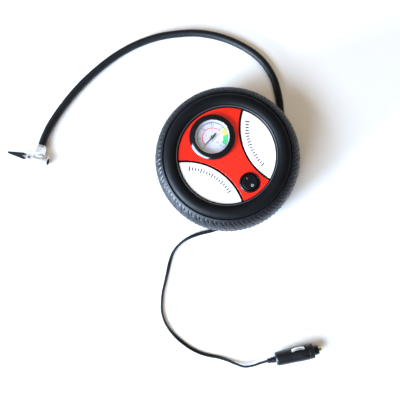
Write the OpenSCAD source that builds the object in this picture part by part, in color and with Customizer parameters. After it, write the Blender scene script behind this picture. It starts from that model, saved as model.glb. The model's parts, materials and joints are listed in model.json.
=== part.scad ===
// Portable tire inflator: a wheel-shaped 12 V air compressor that lies on its back.
// The origin is at the bottom centre of the housing. +Z leaves the face, the gauge is
// towards +Y and the switch towards -Y. The lengths are in millimetres.

/* [Housing] */
// Outside diameter of the tyre-shaped housing
tyre_d = 163; // [160:1:166]
// Height of the front sidewall's crest
housing_h = 60; // [59:1:63]
// Wall thickness of the two shells
wall = 2.5; // [2:0.1:2.8]
// Diameter of the recessed face
face_d = 108.4; // [107:0.1:109]
// Black line between the face panels
panel_gap = 2.4; // [1:0.1:2.5]

/* [Gauge] */
// Distance of the gauge from the centre of the face
gauge_y = 25.4; // [25:0.1:26]
// Outside diameter of the bezel
bezel_d = 50.6; // [48:0.1:51]
// Diameter of the glass that the bezel leaves open
glass_d = 37.6; // [35:0.1:39]

/* [Switch] */
// Distance of the switch from the centre of the face
switch_y = 39; // [38.5:0.1:40]
// Diameter of the switch's flange
switch_d = 23; // [22:0.5:24]
// Angle through which the rocker tips
rocker_tip = 16; // [12:1:18]

/* [Compressor] */
// Piston diameter
piston_d = 18; // [16:0.5:18]
// Throw of the crank, half of the stroke
crank_r = 6; // [5:0.5:6]
// Connecting rod, centre to centre
rod_len = 34; // [33:0.5:34]
// Tooth module of the reduction gears
gear_module = 0.7; // [0.7:0.1:0.7]
// Teeth of the motor pinion
pinion_teeth = 11; // [11:1:11]
// Teeth of the crank gear
gear_teeth = 44; // [44:1:44]

/* [Hose and cord] */
// Outside diameter of the air hose
hose_d = 9; // [8:0.5:9]
// Width of the flat twin cord
cord_w = 4.2; // [3.6:0.1:4.4]
// Turns of cord stored behind the housing
coil_turns = 7; // [5:1:7]

/* [Plug and chuck] */
// Diameter of the 12 V plug's body
plug_d = 17.2; // [16:0.2:18]
// Length of the plug's body without its nose
plug_len = 38; // [36:1:40]
// Diameter of the chuck's body
chuck_d = 13.5; // [13:0.5:14]
// Length of the chuck's lever from its pin
lever_len = 28; // [24:1:30]

/* [Hidden] */
$fn = 96;
tyre_r = tyre_d / 2;
face_r = face_d / 2;
split_z = 30;              // joint between the shells
deck_z = 52.5;             // top of the deck that the panels lie on
panel_z = deck_z + 2.5;    // top of the panels
shoulder_w = 13.5;         // radial width of the rounded tread shoulder
channel_in = 49.5;         // storage channel behind the housing, inner radius
channel_out = 72.5;        // and outer radius
channel_h = 17;            // and depth
hub_z = 0.6;               // lowest point of the hub
hub_r = channel_in - wall; // inside of the hub wall
screw_angles = [30, 120, 210, 300];
screw_ring = 64;
cover_angles = [60, 160, 305];
cover_ring = 43.2;

lens_centre = [82, -27.6]; // centre of the arc that bounds a white panel
lens_r = 65.8;             // and its radius

bezel_r = bezel_d / 2;
glass_r = glass_d / 2;
case_r = 22;
case_z = 40;               // back of the gauge case
dial_z = 55;
lens_z = 59.6;             // underside of the clear lens
lens_h = 1.5;
pointer_rest = 189;        // the pointer rests at the scale's zero
movement_z = 48;           // lower plate of the gauge movement
sector_arm = 14;           // distance from the pointer spindle to the sector's arbor
sector_teeth = 60;         // teeth of the sector's full circle
spindle_teeth = 10;
gauge_module = 0.4;
gauge_line_r = 2.1;
gauge_line_route = [
    [-14, -34.5, 32], [-14, -34, 37], [-13.5, -31, 41.5], [-11, -22, 43.5],
    [-6, -12, 43.5], [-1.5, -6, 43.5], [0, -1.8, 43.5]];

switch_hole = 10.2;
rocker_r = 9;
rocker_z = 54;             // rocker's hinge
fit = 0.3;                 // gap between faces that move past each other

mech_z = 20;               // height of the motor, crank and piston
gear_c = (gear_teeth + pinion_teeth) * gear_module / 2 + 0.05;
motor_y = -3.75;
crank_y = motor_y + gear_c;
gear_x = -10;              // outer face of the gears
gear_w = 6.5;
rod_x = -14;               // plane of the connecting rod and the piston
wrist_y = crank_y + crank_r - rod_len;
cylinder_y = -9.3;
head_y = -30.5;
head_h = 6.8;              // thickness of the cylinder head
head_bolt = 9.4;           // half of the spacing of its screws
crown_h = 5.8;             // height of the piston's crown over its wrist pin
frame_feet = [29, -27];    // where the frame is screwed to the hub cover
motor_r = 13.7;
shaft_r = 1.15;
run_fit = 0.05;            // radial clearance of a running shaft

coil_pitch = 2.3;
coil_in = 52.2;
coil_out = coil_in + coil_turns * coil_pitch;

hose_r = hose_d / 2;
cord_r = cord_w / 2;
chuck_pos = [-171.5, 146.5, 7];
chuck_turn = -53;          // direction in which the mouth points
chuck_r = chuck_d / 2;
pin_x = -12.5;             // lever pin along the chuck's axis
port_x = -3;               // hose port along the chuck's axis
mouth_x = 3.5;             // back of the mouth along the chuck's axis
grip_w = 5.8;              // thickness of the lever's grip
plug_pos = [-100.6, -209.3, 8.7];
plug_turn = -26;
plug_roll = 42;            // the side contacts stand up from the surface by this angle
plug_r = plug_d / 2;
boot_len = 10;
contact_span = [19, 34];   // side contacts along the plug's axis
contact_w = 3.6;
contact_bow = 15.5;        // radius of their bow
contact_out = 9.9;         // and how far they stand from the axis
spring_turns = 5;
spring_start = 35.2;
spring_end = plug_len + 6.1;
gland_turn = 120;
gland_z = 8.6;
elbow_z = 11;

// Route of the air hose, from the outlet elbow to the chuck
hose_route = [
    [-4, -57, 11], [10, -57, 10.6], [24, -54, 10.2], [38, -48, 9.9], [51, -39, 9.7],
    [63, -28, 9.2], [73, -15.5, 7.6], [81.5, -3, 5.8], [89, 8.5, 4.8], [95.5, 18, 4.5],
    [102, 29.5, 4.5], [108, 43, 4.5], [111, 56, 4.5], [112, 70, 4.5], [110, 85, 4.5],
    [105, 101, 4.5], [97, 118, 4.5], [86.5, 134, 4.5], [72, 150, 4.5], [55, 163, 4.5],
    [36, 174.5, 4.5], [15, 183, 4.5], [-7, 188.5, 4.5], [-30, 191, 4.5], [-53, 191, 4.5],
    [-76, 189, 4.5], [-98, 185, 4.5], [-119.5, 179.3, 4.6], [-130, 175.7, 4.8],
    [-139.6, 171.7, 5.3], [-148.6, 166.7, 6], [-157, 161.1, 6.7], [-163, 156.7, 7]];

// Route of the power cord, from the coil to the plug's boot
cord_route = [
    [-23, -66, 2.3], [-38, -60.5, 2.2], [-52, -55.5, 2.1], [-66, -49.8, 2.1],
    [-78, -44, 2.1], [-90, -40, 2.1], [-103, -38.5, 2.1], [-115.5, -41, 2.1],
    [-126.5, -47.5, 2.1], [-136.5, -55.5, 2.1], [-146, -63, 2.1], [-155, -70, 2.1],
    [-163.5, -78.5, 2.1], [-170.5, -88, 2.1], [-174.5, -99, 2.1], [-175.5, -111, 2.1],
    [-174.5, -122, 2.1], [-172, -133, 2.1], [-168.5, -143, 2.1], [-163.5, -152.5, 2.1],
    [-157.5, -160.5, 2.1], [-151, -168, 2.1], [-145.5, -176, 2.1], [-140.5, -185, 2.6],
    [-134.5, -194, 3.8], [-125.5, -199.2, 6], [-118.4, -201.4, 7.6],
    [-112.5, -203.6, 8.5], [-107, -206.2, 8.7]];

// Wires inside the housing: gland to switch, gland to motor and switch to motor
switch_wire = [
    [-22.5, 39.5, 8.6], [-27, 35, 24], [-33, 24, 43], [-35, 0, 45], [-31, -20, 44],
    [-24, -34, 38], [-12, -41, 35.6], [-3.6, -39, 35]];
return_wire = [[-21, 41, 8.6], [-8, 41, 20], [14, 36, 36], [36, 20, 38], [46, 6, 34], [44, 0, 26]];
motor_wire = [[4.6, -39, 35], [11, -37, 35.4], [19, -33, 38], [34, -24, 38], [46, -14, 32], [44, -7.5, 26]];

// ---- shared shapes ----

function ellipse_arc(centre, a, b, from, to, steps) =
    [for (i = [0:steps])
        let (t = from + (to - from) * i / steps) centre + [a * cos(t), b * sin(t)]];

function unit(v) = v / norm(v);

function heading(path, i) = unit(path[min(i + 1, len(path) - 1)] - path[max(i - 1, 0)]);

function ring(path, i, r, sides) =
    let (t = heading(path, i), s = unit(cross(t, [0, 0.001, 1])), u = cross(s, t))
    [for (k = [0:sides - 1])
        let (a = 360 * (k + 0.5) / sides) path[i] + r * (cos(a) * s + sin(a) * u)];

module tube(path, r, sides) {
    last = len(path) - 1;
    points = [for (i = [0:last]) each ring(path, i, r, sides)];
    skin = [for (i = [0:last - 1]) for (k = [0:sides - 1])
        let (a = i * sides, b = (k + 1) % sides)
        [a + k, a + b, a + sides + b, a + sides + k]];
    start_cap = [[for (k = [sides - 1:-1:0]) k]];
    end_cap = [[for (k = [0:sides - 1]) last * sides + k]];
    polyhedron(points, concat(start_cap, skin, end_cap));
}

module along_x() {
    rotate([0, 90, 0]) children();
}

module along_y() {
    rotate([-90, 0, 0]) children();
}

module washer(outer, inner, h) {
    difference() {
        cylinder(r = outer, h = h);
        translate([0, 0, -1]) cylinder(r = inner, h = h + 2);
    }
}

module screw(head_r, head_h, shank_r, length) {
    cylinder(r = head_r, h = head_h);
    translate([0, 0, head_h - 0.01]) cylinder(r = shank_r, h = length);
}

// Half of a tooth's angle at radius r, for an involute with a 20 degree pressure angle
function involute(r, base) =
    r <= base ? 0 : let (t = sqrt(pow(r / base, 2) - 1)) t * 180 / PI - atan(t);
function tooth_half(teeth, m, r, slack) =
    let (pitch = teeth * m / 2, base = pitch * cos(20))
    90 / teeth + involute(pitch, base) - involute(r, base) - slack / pitch * 90 / PI;
function tooth_points(teeth, m, root, tip, slack, angle) =
    let (radii = [for (i = [0:4]) root + (tip - root) * i / 4])
    concat(
        [for (r = radii)
            let (a = angle - tooth_half(teeth, m, r, slack)) r * [cos(a), sin(a)]],
        [for (i = [4:-1:0])
            let (r = radii[i], a = angle + tooth_half(teeth, m, r, slack)) r * [cos(a), sin(a)]]);

module gear_outline(teeth, m, root, tip, slack, first = 0, count = 0) {
    shown = count == 0 ? teeth : count;
    polygon(concat(
        [for (i = [0:shown - 1])
            each tooth_points(teeth, m, root, tip, slack, 360 * (i + first) / teeth)],
        count == 0 ? [] : [[0, 0]]));
}

module at_gauge(z) {
    translate([0, gauge_y, z]) children();
}

module at_switch(z) {
    translate([0, -switch_y, z]) children();
}

module at_chuck() {
    translate(chuck_pos) rotate([0, 0, chuck_turn]) children();
}

module at_plug() {
    translate(plug_pos) rotate([0, 0, plug_turn]) rotate([plug_roll, 0, 0]) children();
}

// ---- housing ----

function sidewall() = concat(
    ellipse_arc([tyre_r - shoulder_w, 38], shoulder_w, 18.9, 0, 74, 8),
    [[tyre_r - 10.3, 55.4], [tyre_r - 11.3, 55.4]],
    ellipse_arc([tyre_r - 19, housing_h - 5], 7.6, 5, 16, 148, 10),
    [[face_r, 56.2]]);

function sidewall_lining() = concat(
    [[face_r + wall, 50], [face_r + wall, 53.6]],
    ellipse_arc([tyre_r - 19, housing_h - 7.5], 5.3, 5, 148, 16, 8),
    ellipse_arc([tyre_r - shoulder_w, 38], shoulder_w - wall, 16.4, 70, 0, 6));

module front_shell() color("#1c1d1f") {
    difference() {
        union() {
            rotate_extrude(convexity = 6) polygon(concat(
                [[tyre_r, split_z]], sidewall(), [[face_r, deck_z], [0, deck_z], [0, 50]],
                sidewall_lining(), [[tyre_r - wall, split_z]]));
            for (a = screw_angles)
                rotate([0, 0, a]) translate([screw_ring, 0, 19.6]) cylinder(r = 3.6, h = 37);
        }
        at_gauge(40) cylinder(r = case_r + fit, h = 20);
        at_switch(40) cylinder(r = switch_hole, h = 20);
        for (a = screw_angles)
            rotate([0, 0, a]) translate([screw_ring, 0, 18]) cylinder(r = 1.55, h = 28);
    }
}

module hose_notch() {
    translate([74, -14, 0]) rotate([0, 0, 52]) {
        translate([-28, -6.5, -1]) cube([60, 13, 9]);
        translate([-28, 0, 8]) along_x() cylinder(r = 6.5, h = 60);
    }
}

module cord_notch() {
    translate([-52, -55.5, 0]) rotate([0, 0, 158]) {
        translate([-30, -4, -1]) cube([64, 8, 6]);
        translate([-30, 0, 5]) along_x() cylinder(r = 4, h = 64);
    }
}

module rear_shell() color("#1c1d1f") {
    rim_r = tyre_r - 5;
    outer = ellipse_arc([tyre_r - shoulder_w, 22], shoulder_w, 28.3, 0, -51, 8);
    lining = ellipse_arc([tyre_r - shoulder_w, 22], shoulder_w - wall, 25.4, -50.2, 0, 6);
    difference() {
        union() {
            rotate_extrude(convexity = 6) polygon(concat(
                [[tyre_r, split_z]], outer,
                [[rim_r, 0], [channel_out, 0], [channel_out, channel_h]],
                [[channel_in, channel_h], [channel_in, hub_z], [hub_r, hub_z]],
                [[hub_r, channel_h + wall], [channel_out + 2.2, channel_h + wall]],
                [[channel_out + 2.2, 2.5]], lining, [[tyre_r - wall, split_z]]));
            for (a = cover_angles)
                rotate([0, 0, a]) translate([cover_ring, 0, 3.2]) {
                    cylinder(r = 3.2, h = 11);
                    translate([0, -3.2, 0]) cube([5, 6.4, 11]);
                }
        }
        hose_notch();
        cord_notch();
        for (a = screw_angles)
            rotate([0, 0, a]) translate([screw_ring, 0, 15]) cylinder(r = 1.6, h = 6);
        for (a = cover_angles)
            rotate([0, 0, a]) translate([cover_ring, 0, 3]) cylinder(r = 1.3, h = 10);
        translate([rod_x, -52, elbow_z]) along_y() cylinder(r = 3.6, h = 12);
        rotate([0, 0, gland_turn]) translate([45, 0, gland_z]) along_x() cylinder(r = 3.6, h = 7);
    }
}

module hub_cover() color("#232427") {
    difference() {
        translate([0, 0, hub_z]) cylinder(r = hub_r - 0.2, h = 2.4);
        for (a = cover_angles)
            rotate([0, 0, a]) translate([cover_ring, 0, 0]) {
                cylinder(r = 1.5, h = 6);
                cylinder(r = 2.8, h = 2);
            }
        for (y = frame_feet)
            translate([4, y, 0]) {
                cylinder(r = 1.6, h = 6);
                cylinder(r = 2.8, h = 2);
            }
        for (row = [-2:2])
            translate([12, row * 5 - 3.75, 0]) cube([24, 2.2, 6]);
        for (row = [-2:2])
            translate([-36, row * 5 - 1.1, 0]) cube([20, 2.2, 6]);
    }
}

module housing_screws() color("silver") {
    for (a = screw_angles)
        rotate([0, 0, a]) translate([screw_ring, 0, channel_h - 1.6])
            screw(2.8, 1.6, 1.5, 27);
}

module cover_screws() color("silver") {
    for (a = cover_angles)
        rotate([0, 0, a]) translate([cover_ring, 0, hub_z + 0.1]) screw(2.6, 1.2, 1.25, 9);
    for (y = frame_feet)
        translate([4, y, hub_z + 0.1]) screw(2.6, 1.2, 1.25, 4.6);
}

// ---- face panels ----

module lens_outline(side, grow) {
    intersection() {
        circle(r = face_r - 1.7 + grow);
        translate([side * lens_centre[0], lens_centre[1]]) circle(r = lens_r + grow);
    }
}

module red_panel() color("#ff2a18") {
    translate([0, 0, deck_z]) linear_extrude(panel_z - deck_z) difference() {
        circle(r = face_r - 0.5);
        lens_outline(1, panel_gap);
        lens_outline(-1, panel_gap);
        translate([0, gauge_y]) circle(r = case_r + fit);
        translate([0, -switch_y]) circle(r = switch_hole);
    }
}

module lens_panel(side) {
    translate([0, 0, deck_z]) linear_extrude(panel_z - deck_z + 0.2) lens_outline(side, 0);
}

module left_panel() color("white") lens_panel(-1);

module right_panel() color("white") lens_panel(1);

// ---- gauge ----

module gauge_case() color("#2a2b2e") {
    at_gauge(case_z) difference() {
        cylinder(r = case_r, h = lens_z - case_z - 0.2);
        translate([0, 0, 1.5]) cylinder(r = case_r - 1.2, h = 20);
        translate([0, -case_r - 3, 3.5]) along_y() cylinder(r = 3.05, h = 10);
    }
}

module gauge_bezel() color("#101114") {
    lens_top = lens_z + lens_h + 0.1;
    at_gauge(0) rotate_extrude() polygon(concat(
        [[case_r + 0.15, panel_z], [bezel_r, panel_z], [bezel_r, panel_z + 4.3]],
        [[bezel_r - 0.3, panel_z + 4.7], [bezel_r - 2.8, panel_z + 6.5]],
        [[glass_r + 1.2, 62.4], [glass_r + 0.3, 62.2], [glass_r, 61.8], [glass_r, lens_top]],
        [[20.2, lens_top], [20.2, lens_z - 0.1], [case_r + 0.15, lens_z - 0.1]]));
}

module gauge_lens() color([0.85, 0.92, 0.95, 0.35]) {
    at_gauge(lens_z) cylinder(r = 20, h = lens_h);
}

module gauge_dial() color("white") {
    at_gauge(dial_z - 0.6) washer(case_r - 1.4, 1.3, 0.6);
}

// The pointer's spindle carries a pinion
module gauge_pointer() color("#202020") {
    spindle_tip = spindle_teeth * gauge_module / 2 + 0.35;
    at_gauge(0) {
        translate([0, 0, movement_z - 2]) cylinder(r = 0.6, h = 11.8);
        translate([0, 0, 57]) cylinder(r = 2.2, h = 0.8);
        rotate([0, 0, pointer_rest]) translate([0, 0, 57.2]) linear_extrude(0.4)
            polygon([
                [-5.8, -0.85], [-5.8, 0.85], [-1.5, 1.1], [1.5, 0.9], [12.6, 0.28],
                [12.6, -0.28], [1.5, -0.9], [-1.5, -1.1]]);
        translate([0, 0, movement_z + 1.2]) rotate([0, 0, 180 / spindle_teeth])
            linear_extrude(1.6) gear_outline(spindle_teeth, gauge_module, 1.45, spindle_tip, 0.12);
    }
}

module movement_plates() color("#c9a227") {
    at_gauge(0) for (z = [movement_z, movement_z + 3.8]) difference() {
        union() {
            translate([-5, -5, z]) cube([22.5, 10, 0.8]);
            if (z == movement_z) for (x = [-3.5, 15]) for (y = [-3.5, 3.5])
                translate([x, y, z]) cylinder(r = 0.9, h = 4);
        }
        translate([0, 0, z - 1]) cylinder(r = 0.6 + run_fit, h = 3);
        translate([sector_arm, 0, z - 1]) cylinder(r = 0.8 + run_fit, h = 3);
    }
    // pillar that stands the movement on the gauge's back
    at_gauge(case_z + 1.5) translate([-4, -4, 0]) cube([4, 3, movement_z - case_z - 1.5]);
}

module sector_gear() color("#d8b84a") {
    pitch = sector_teeth * gauge_module / 2;
    at_gauge(0) translate([sector_arm, 0, 0]) {
        translate([0, 0, movement_z - 1]) cylinder(r = 0.8, h = 6.4);
        translate([0, 0, movement_z + 1.5]) {
            rotate([0, 0, 180]) linear_extrude(1)
                gear_outline(sector_teeth, gauge_module, pitch - 0.5, pitch + 0.35, 0.1, -8, 10);
            cylinder(r = 1.8, h = 1);
        }
    }
}

module bourdon_tube() color("#c08a3e") {
    at_gauge(case_z + 3) rotate([0, 0, -84]) rotate_extrude(angle = 250)
        translate([16.5, 0]) square([1.6, 4]);
}

module gauge_stem() color("#c9a227") {
    at_gauge(case_z + 3.5) translate([0, -case_r - 5, 0]) along_y() difference() {
        cylinder(r = 3, h = 8);
        translate([0, 0, -1]) cylinder(r = 1.1, h = 6);
    }
    // block that the bourdon tube is soldered into
    at_gauge(case_z + 1.6) translate([-3, -19, 0]) cube([4.6, 6, 6]);
}

module gauge_line() color("#303236") {
    tube(gauge_line_route, gauge_line_r, 10);
}

// ---- switch ----

module switch_body() color("#131416") {
    at_switch(0) difference() {
        union() {
            translate([0, 0, panel_z]) cylinder(r = switch_d / 2, h = 0.6);
            translate([0, 0, panel_z + 0.5])
                cylinder(r1 = switch_d / 2, r2 = switch_d / 2 - 1.5, h = 1.7);
            translate([0, 0, 39]) cylinder(r = 10, h = panel_z - 39 + 0.1);
        }
        translate([0, 0, 42]) cylinder(r = rocker_r + fit, h = 20);
        translate([-12, 0, rocker_z]) along_x() cylinder(r = 1 + run_fit, h = 24);
    }
}

// The rocker is part of a ball about its hinge, so that it clears its round frame
module switch_rocker() color("#0d0d0f") {
    at_switch(rocker_z) {
        intersection() {
            sphere(r = rocker_r);
            union() {
                translate([-12, -12, -5]) cube([24, 12.01, 8.4]);
                translate([0, 0, 3.4]) rotate([rocker_tip, 0, 0])
                    translate([-12, -0.6, -8]) cube([24, 14, 8]);
            }
        }
        translate([-9.9, 0, 0]) along_x() cylinder(r = 1, h = 19.8);
    }
}

module switch_terminals() color("#d0b060") {
    at_switch(33.6) for (x = [-3, 4])
        translate([x - 0.4, -2.4, 0]) cube([0.8, 4.8, 5.4]);
}

// ---- compressor ----

module compressor_frame() color("#8d9094") {
    difference() {
        union() {
            translate([-2, -9.3, 3.1]) cube([2, 43, 33.5]);
            translate([-26.5, -9.3, 5]) cube([26.5, 2.3, 30]);
            for (y = frame_feet)
                translate([-2, y - 4, 3.1]) cube([10.5, 8, 2.4]);
            translate([-2, -31, 3.1]) cube([2, 24, 2.4]);
            translate([-4.4, crank_y, mech_z]) along_x() cylinder(r = 3, h = 1);
        }
        for (y = frame_feet)
            translate([4, y, 0]) cylinder(r = 1.3, h = 8);
        translate([rod_x, -12, mech_z]) along_y() cylinder(r = 10.2, h = 8);
        translate([-6, motor_y, mech_z]) along_x() cylinder(r = 4.8, h = 10);
        translate([-6, crank_y, mech_z]) along_x() cylinder(r = 4.2, h = 10);
        for (z = [-1, 1])
            translate([-3, motor_y, mech_z + z * 9]) along_x() cylinder(r = 1.3, h = 4);
    }
}

module motor_can() color("#b9bcc0") {
    translate([0, motor_y, mech_z]) along_x() difference() {
        cylinder(r = motor_r, h = 34);
        translate([0, 0, 1.2]) cylinder(r = motor_r - 1.1, h = 34);
        translate([0, 0, -1]) cylinder(r = shaft_r + run_fit, h = 4);
    }
}

module motor_magnets() color("#3c3d40") {
    translate([6, motor_y, mech_z]) along_x() difference() {
        washer(motor_r - 1.15, 10.3, 24);
        for (s = [-1, 1])
            translate([-3, s * 11.5 - 5, -1]) cube([6, 10, 26]);
    }
}

module motor_end_bell() color("#1f2023") {
    translate([34, motor_y, mech_z]) along_x() difference() {
        union() {
            cylinder(r = motor_r, h = 3.4);
            translate([0, 0, 3]) cylinder(r = 5, h = 3);
            translate([0, 0, -2]) cylinder(r = motor_r - 1.2, h = 2.1);
        }
        translate([0, 0, -3]) cylinder(r = shaft_r + run_fit, h = 12);
    }
}

module motor_rotor() color("#a65a2a") {
    translate([0, motor_y, mech_z]) along_x() {
        difference() {
            union() {
                translate([0, 0, 7]) cylinder(r = 9.8, h = 20);
                translate([0, 0, 26.9]) cylinder(r = 4, h = 4.5);
            }
            translate([0, 0, 5]) cylinder(r = shaft_r, h = 28);
            for (k = [0:4])
                rotate([0, 0, 72 * k]) translate([8, -0.9, 6]) cube([4, 1.8, 22]);
        }
    }
}

module motor_shaft() color("silver") {
    translate([gear_x, motor_y, mech_z]) along_x() cylinder(r = shaft_r, h = 49.5);
}

module motor_pinion() color("#c9a227") {
    pitch = pinion_teeth * gear_module / 2;
    translate([gear_x, motor_y, mech_z]) along_x() difference() {
        // a tooth gap faces the crank gear, which has a tooth there
        rotate([0, 0, 90 + 180 / pinion_teeth]) linear_extrude(gear_w)
            gear_outline(pinion_teeth, gear_module, pitch - 0.88, pitch + 0.6, 0.16);
        translate([0, 0, -1]) cylinder(r = shaft_r, h = gear_w + 2);
    }
}

module crank_gear() color("#e6e2d6") {
    pitch = gear_teeth * gear_module / 2;
    translate([gear_x, crank_y, mech_z]) along_x() difference() {
        rotate([0, 0, -90]) linear_extrude(gear_w)
            gear_outline(gear_teeth, gear_module, pitch - 0.85, pitch + 0.45, 0.16);
        translate([0, 0, -1]) cylinder(r = 2.5, h = gear_w + 2);
        translate([0, crank_r, -1]) cylinder(r = 2, h = gear_w + 2);
        for (k = [0:3])
            rotate([0, 0, 45 + 90 * k]) translate([9.5, 0, -1]) cylinder(r = 2.6, h = gear_w + 2);
    }
}

module crank_axle() color("silver") {
    translate([gear_x, crank_y, mech_z]) along_x() cylinder(r = 2.5, h = 15.5);
}

module axle_bush() color("#c9a227") {
    translate([-2.9, crank_y, mech_z]) along_x() washer(4.2, 2.5 + run_fit, 6.5);
}

// The pin ends short of the rod: the crank linkage is opened here
module crank_pin() color("silver") {
    translate([-11.7, crank_y + crank_r, mech_z]) along_x() cylinder(r = 2, h = 8.2);
}

module connecting_rod() color("#c8cacc") {
    big = crank_y + crank_r;
    difference() {
        union() {
            translate([rod_x - 2, big, mech_z]) along_x() cylinder(r = 4.4, h = 4);
            translate([rod_x - 2, wrist_y, mech_z]) along_x() cylinder(r = 3.4, h = 4);
            translate([rod_x - 1.5, wrist_y, mech_z - 2]) cube([3, rod_len, 4]);
        }
        translate([rod_x - 3, big, mech_z]) along_x() cylinder(r = 2.1, h = 6);
        translate([rod_x - 3, wrist_y, mech_z]) along_x() cylinder(r = 1.5 + run_fit, h = 6);
    }
}

module wrist_pin() color("silver") {
    translate([rod_x - 7, wrist_y, mech_z]) along_x() cylinder(r = 1.5, h = 14);
}

module piston() color("#d5d7da") {
    r = piston_d / 2 - 0.08;
    translate([rod_x, wrist_y, mech_z]) along_y() difference() {
        translate([0, 0, -crown_h]) cylinder(r = r, h = crown_h + 4);
        translate([0, 0, -5]) washer(r + 1, r - 1.2, 1.2);
        translate([-2.6, -6, -3.8]) cube([5.2, 12, 10]);
        translate([-8, 0, 0]) along_x() cylinder(r = 1.5, h = 16);
    }
}

module piston_ring() color("#26272a") {
    r = piston_d / 2 - 0.04;
    translate([rod_x, wrist_y - 4.95, mech_z]) along_y() washer(r, r - 1.1, 1.1);
}

module cylinder_part() {
    bore = piston_d / 2;
    length = cylinder_y - head_y;
    difference() {
        union() {
            cylinder(r = bore + 1.8, h = length);
            for (k = [0:4])
                translate([0, 0, 4 + 3.6 * k]) cylinder(r = 12.8, h = 1.3);
            translate([-12.4, -12.4, length - 2]) cube([24.8, 24.8, 2]);
        }
        translate([0, 0, -1]) cylinder(r = bore, h = length + 2);
        for (x = [-1, 1]) for (z = [-1, 1])
            translate([x * head_bolt, z * head_bolt, -1]) cylinder(r = 1.3, h = length + 2);
    }
}

module cylinder_body() color("#c2c5c9") {
    translate([rod_x, head_y, mech_z]) along_y() cylinder_part();
}

module cylinder_head() color("#c2c5c9") {
    translate([rod_x, head_y - head_h, mech_z]) along_y() difference() {
        union() {
            cylinder(r = 12.4, h = head_h);
            translate([0, 0, 3.4]) rotate([90, 0, 0]) cylinder(r = 3, h = 13.5);
        }
        translate([0, 0, 2]) cylinder(r = 7.4, h = 6);
        for (x = [-1, 1]) for (z = [-1, 1])
            translate([x * head_bolt, z * head_bolt, -1]) cylinder(r = 1.5, h = 10);
        translate([0, mech_z - elbow_z, -1]) cylinder(r = 2.6, h = 3);
        translate([0, 0, 3.4]) rotate([90, 0, 0]) translate([0, 0, 10]) cylinder(r = 2.2, h = 6);
    }
}

module head_screws() color("silver") {
    for (x = [-1, 1]) for (z = [-1, 1])
        translate([rod_x + x * head_bolt, head_y - head_h - 1.6, mech_z + z * head_bolt])
            along_y() screw(2.1, 1.6, 1.25, 12);
}

// Elbow through the hub wall: it leaves the head and turns along the channel
module outlet_elbow() color("#d2d4d8") {
    translate([rod_x, -57, elbow_z]) {
        translate([0, 0.1, 0]) along_y() cylinder(r = 2.5, h = 20);
        translate([0, 4, 0]) along_y() cylinder(r = 3.4, h = 9);
        translate([0, 0, -3.4]) cylinder(r = 3.6, h = 6.8);
        along_x() cylinder(r = 3, h = 5);
        translate([4.9, 0, 0]) along_x() cylinder(r = 4.5, h = 4.9);
    }
}

module wiring() color("#b01818") {
    tube(switch_wire, 1, 8);
    tube(return_wire, 1, 8);
    tube(motor_wire, 1, 8);
}

// ---- cord and plug ----

module cord_gland() color("#17181a") {
    rotate([0, 0, gland_turn]) translate([0, 0, gland_z]) {
        translate([45.5, 0, 0]) along_x() cylinder(r = 3.5, h = 6.5);
        translate([45.5, 0, 0]) along_x() cylinder(r = 4.6, h = 1.4);
        translate([52, 0, 0]) sphere(r = 3.8);
        translate([52, 0, 0]) rotate([90 + 4, 0, 0]) cylinder(r1 = 3.7, r2 = 2.5, h = 22);
    }
}

module cord_coil() color("#111214") {
    translate([0, 0, 0.1]) washer(coil_out, coil_in, cord_w + 0.1);
}

module power_cord() color("#111214") {
    tube(cord_route, cord_r, 8);
}

module cord_boot() color("#17181a") {
    at_plug() {
        translate([-boot_len, 0, 0]) along_x() cylinder(r1 = 2.5, r2 = 3.4, h = boot_len);
        for (k = [0:3])
            translate([2.2 * k - 8.6, 0, 0]) along_x() cylinder(r = 3.3 + 0.25 * k, h = 1.1);
    }
}

module plug_body() color("#141517") {
    at_plug() difference() {
        union() {
            along_x() cylinder(r1 = plug_r - 1.2, r2 = plug_r, h = 1.2);
            translate([1.2, 0, 0]) along_x() cylinder(r = plug_r, h = plug_len - 1.2);
        }
        translate([9, 0, 0]) along_x() cylinder(r = 3.4, h = plug_len);
        for (s = [-1, 1])
            translate([contact_span[0] - 1, s * 8 - 3, -contact_w / 2 - 0.4])
                cube([contact_span[1] - contact_span[0] + 2, 6, contact_w + 0.8]);
    }
}

// A bowed spring strip on the plug's flank
module plug_contact(side) {
    span = contact_span[1] - contact_span[0];
    middle = (contact_span[0] + contact_span[1]) / 2;
    half = asin(span / 2 / contact_bow);
    at_plug() mirror([0, side < 0 ? 1 : 0, 0])
        translate([middle, contact_out - contact_bow, -contact_w / 2])
            rotate([0, 0, 90 - half]) rotate_extrude(angle = 2 * half)
                translate([contact_bow - 0.6, 0]) square([0.6, contact_w]);
}

module plug_contact_a() color("#d6d8db") plug_contact(1);

module plug_contact_b() color("#d6d8db") plug_contact(-1);

module plug_nose() color("#1b1c1f") {
    at_plug() translate([plug_len, 0, 0]) along_x() difference() {
        union() {
            cylinder(r = 8.3, h = 6);
            translate([0, 0, 5.9]) cylinder(r1 = 5.4, r2 = 4.9, h = 5.6);
        }
        translate([0, 0, -1]) cylinder(r = 3.4, h = 9);
        translate([0, 0, 7]) cylinder(r = 2.1, h = 6);
    }
}

module plug_fuse() color("#cfd6d8") {
    at_plug() translate([10, 0, 0]) along_x() cylinder(r = 3.1, h = 25);
}

module plug_tip() color("#b8864a") {
    at_plug() translate([plug_len + 6.2, 0, 0]) along_x() {
        cylinder(r = 3.1, h = 1.5);
        translate([0, 0, 1.4]) cylinder(r = 2.04, h = 6);
        translate([0, 0, 7]) sphere(r = 2.04);
    }
}

module tip_spring() color("silver") {
    steps = 10 * spring_turns;
    at_plug() tube([for (i = [0:steps])
        let (t = 360 * spring_turns * i / steps)
        [spring_start + 0.3 + (spring_end - spring_start - 0.6) * i / steps,
            2.5 * cos(t), 2.5 * sin(t)]], 0.3, 8);
}

// ---- hose and chuck ----

module air_hose() color("#1d1e20") {
    tube(hose_route, hose_r, 10);
}

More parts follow.
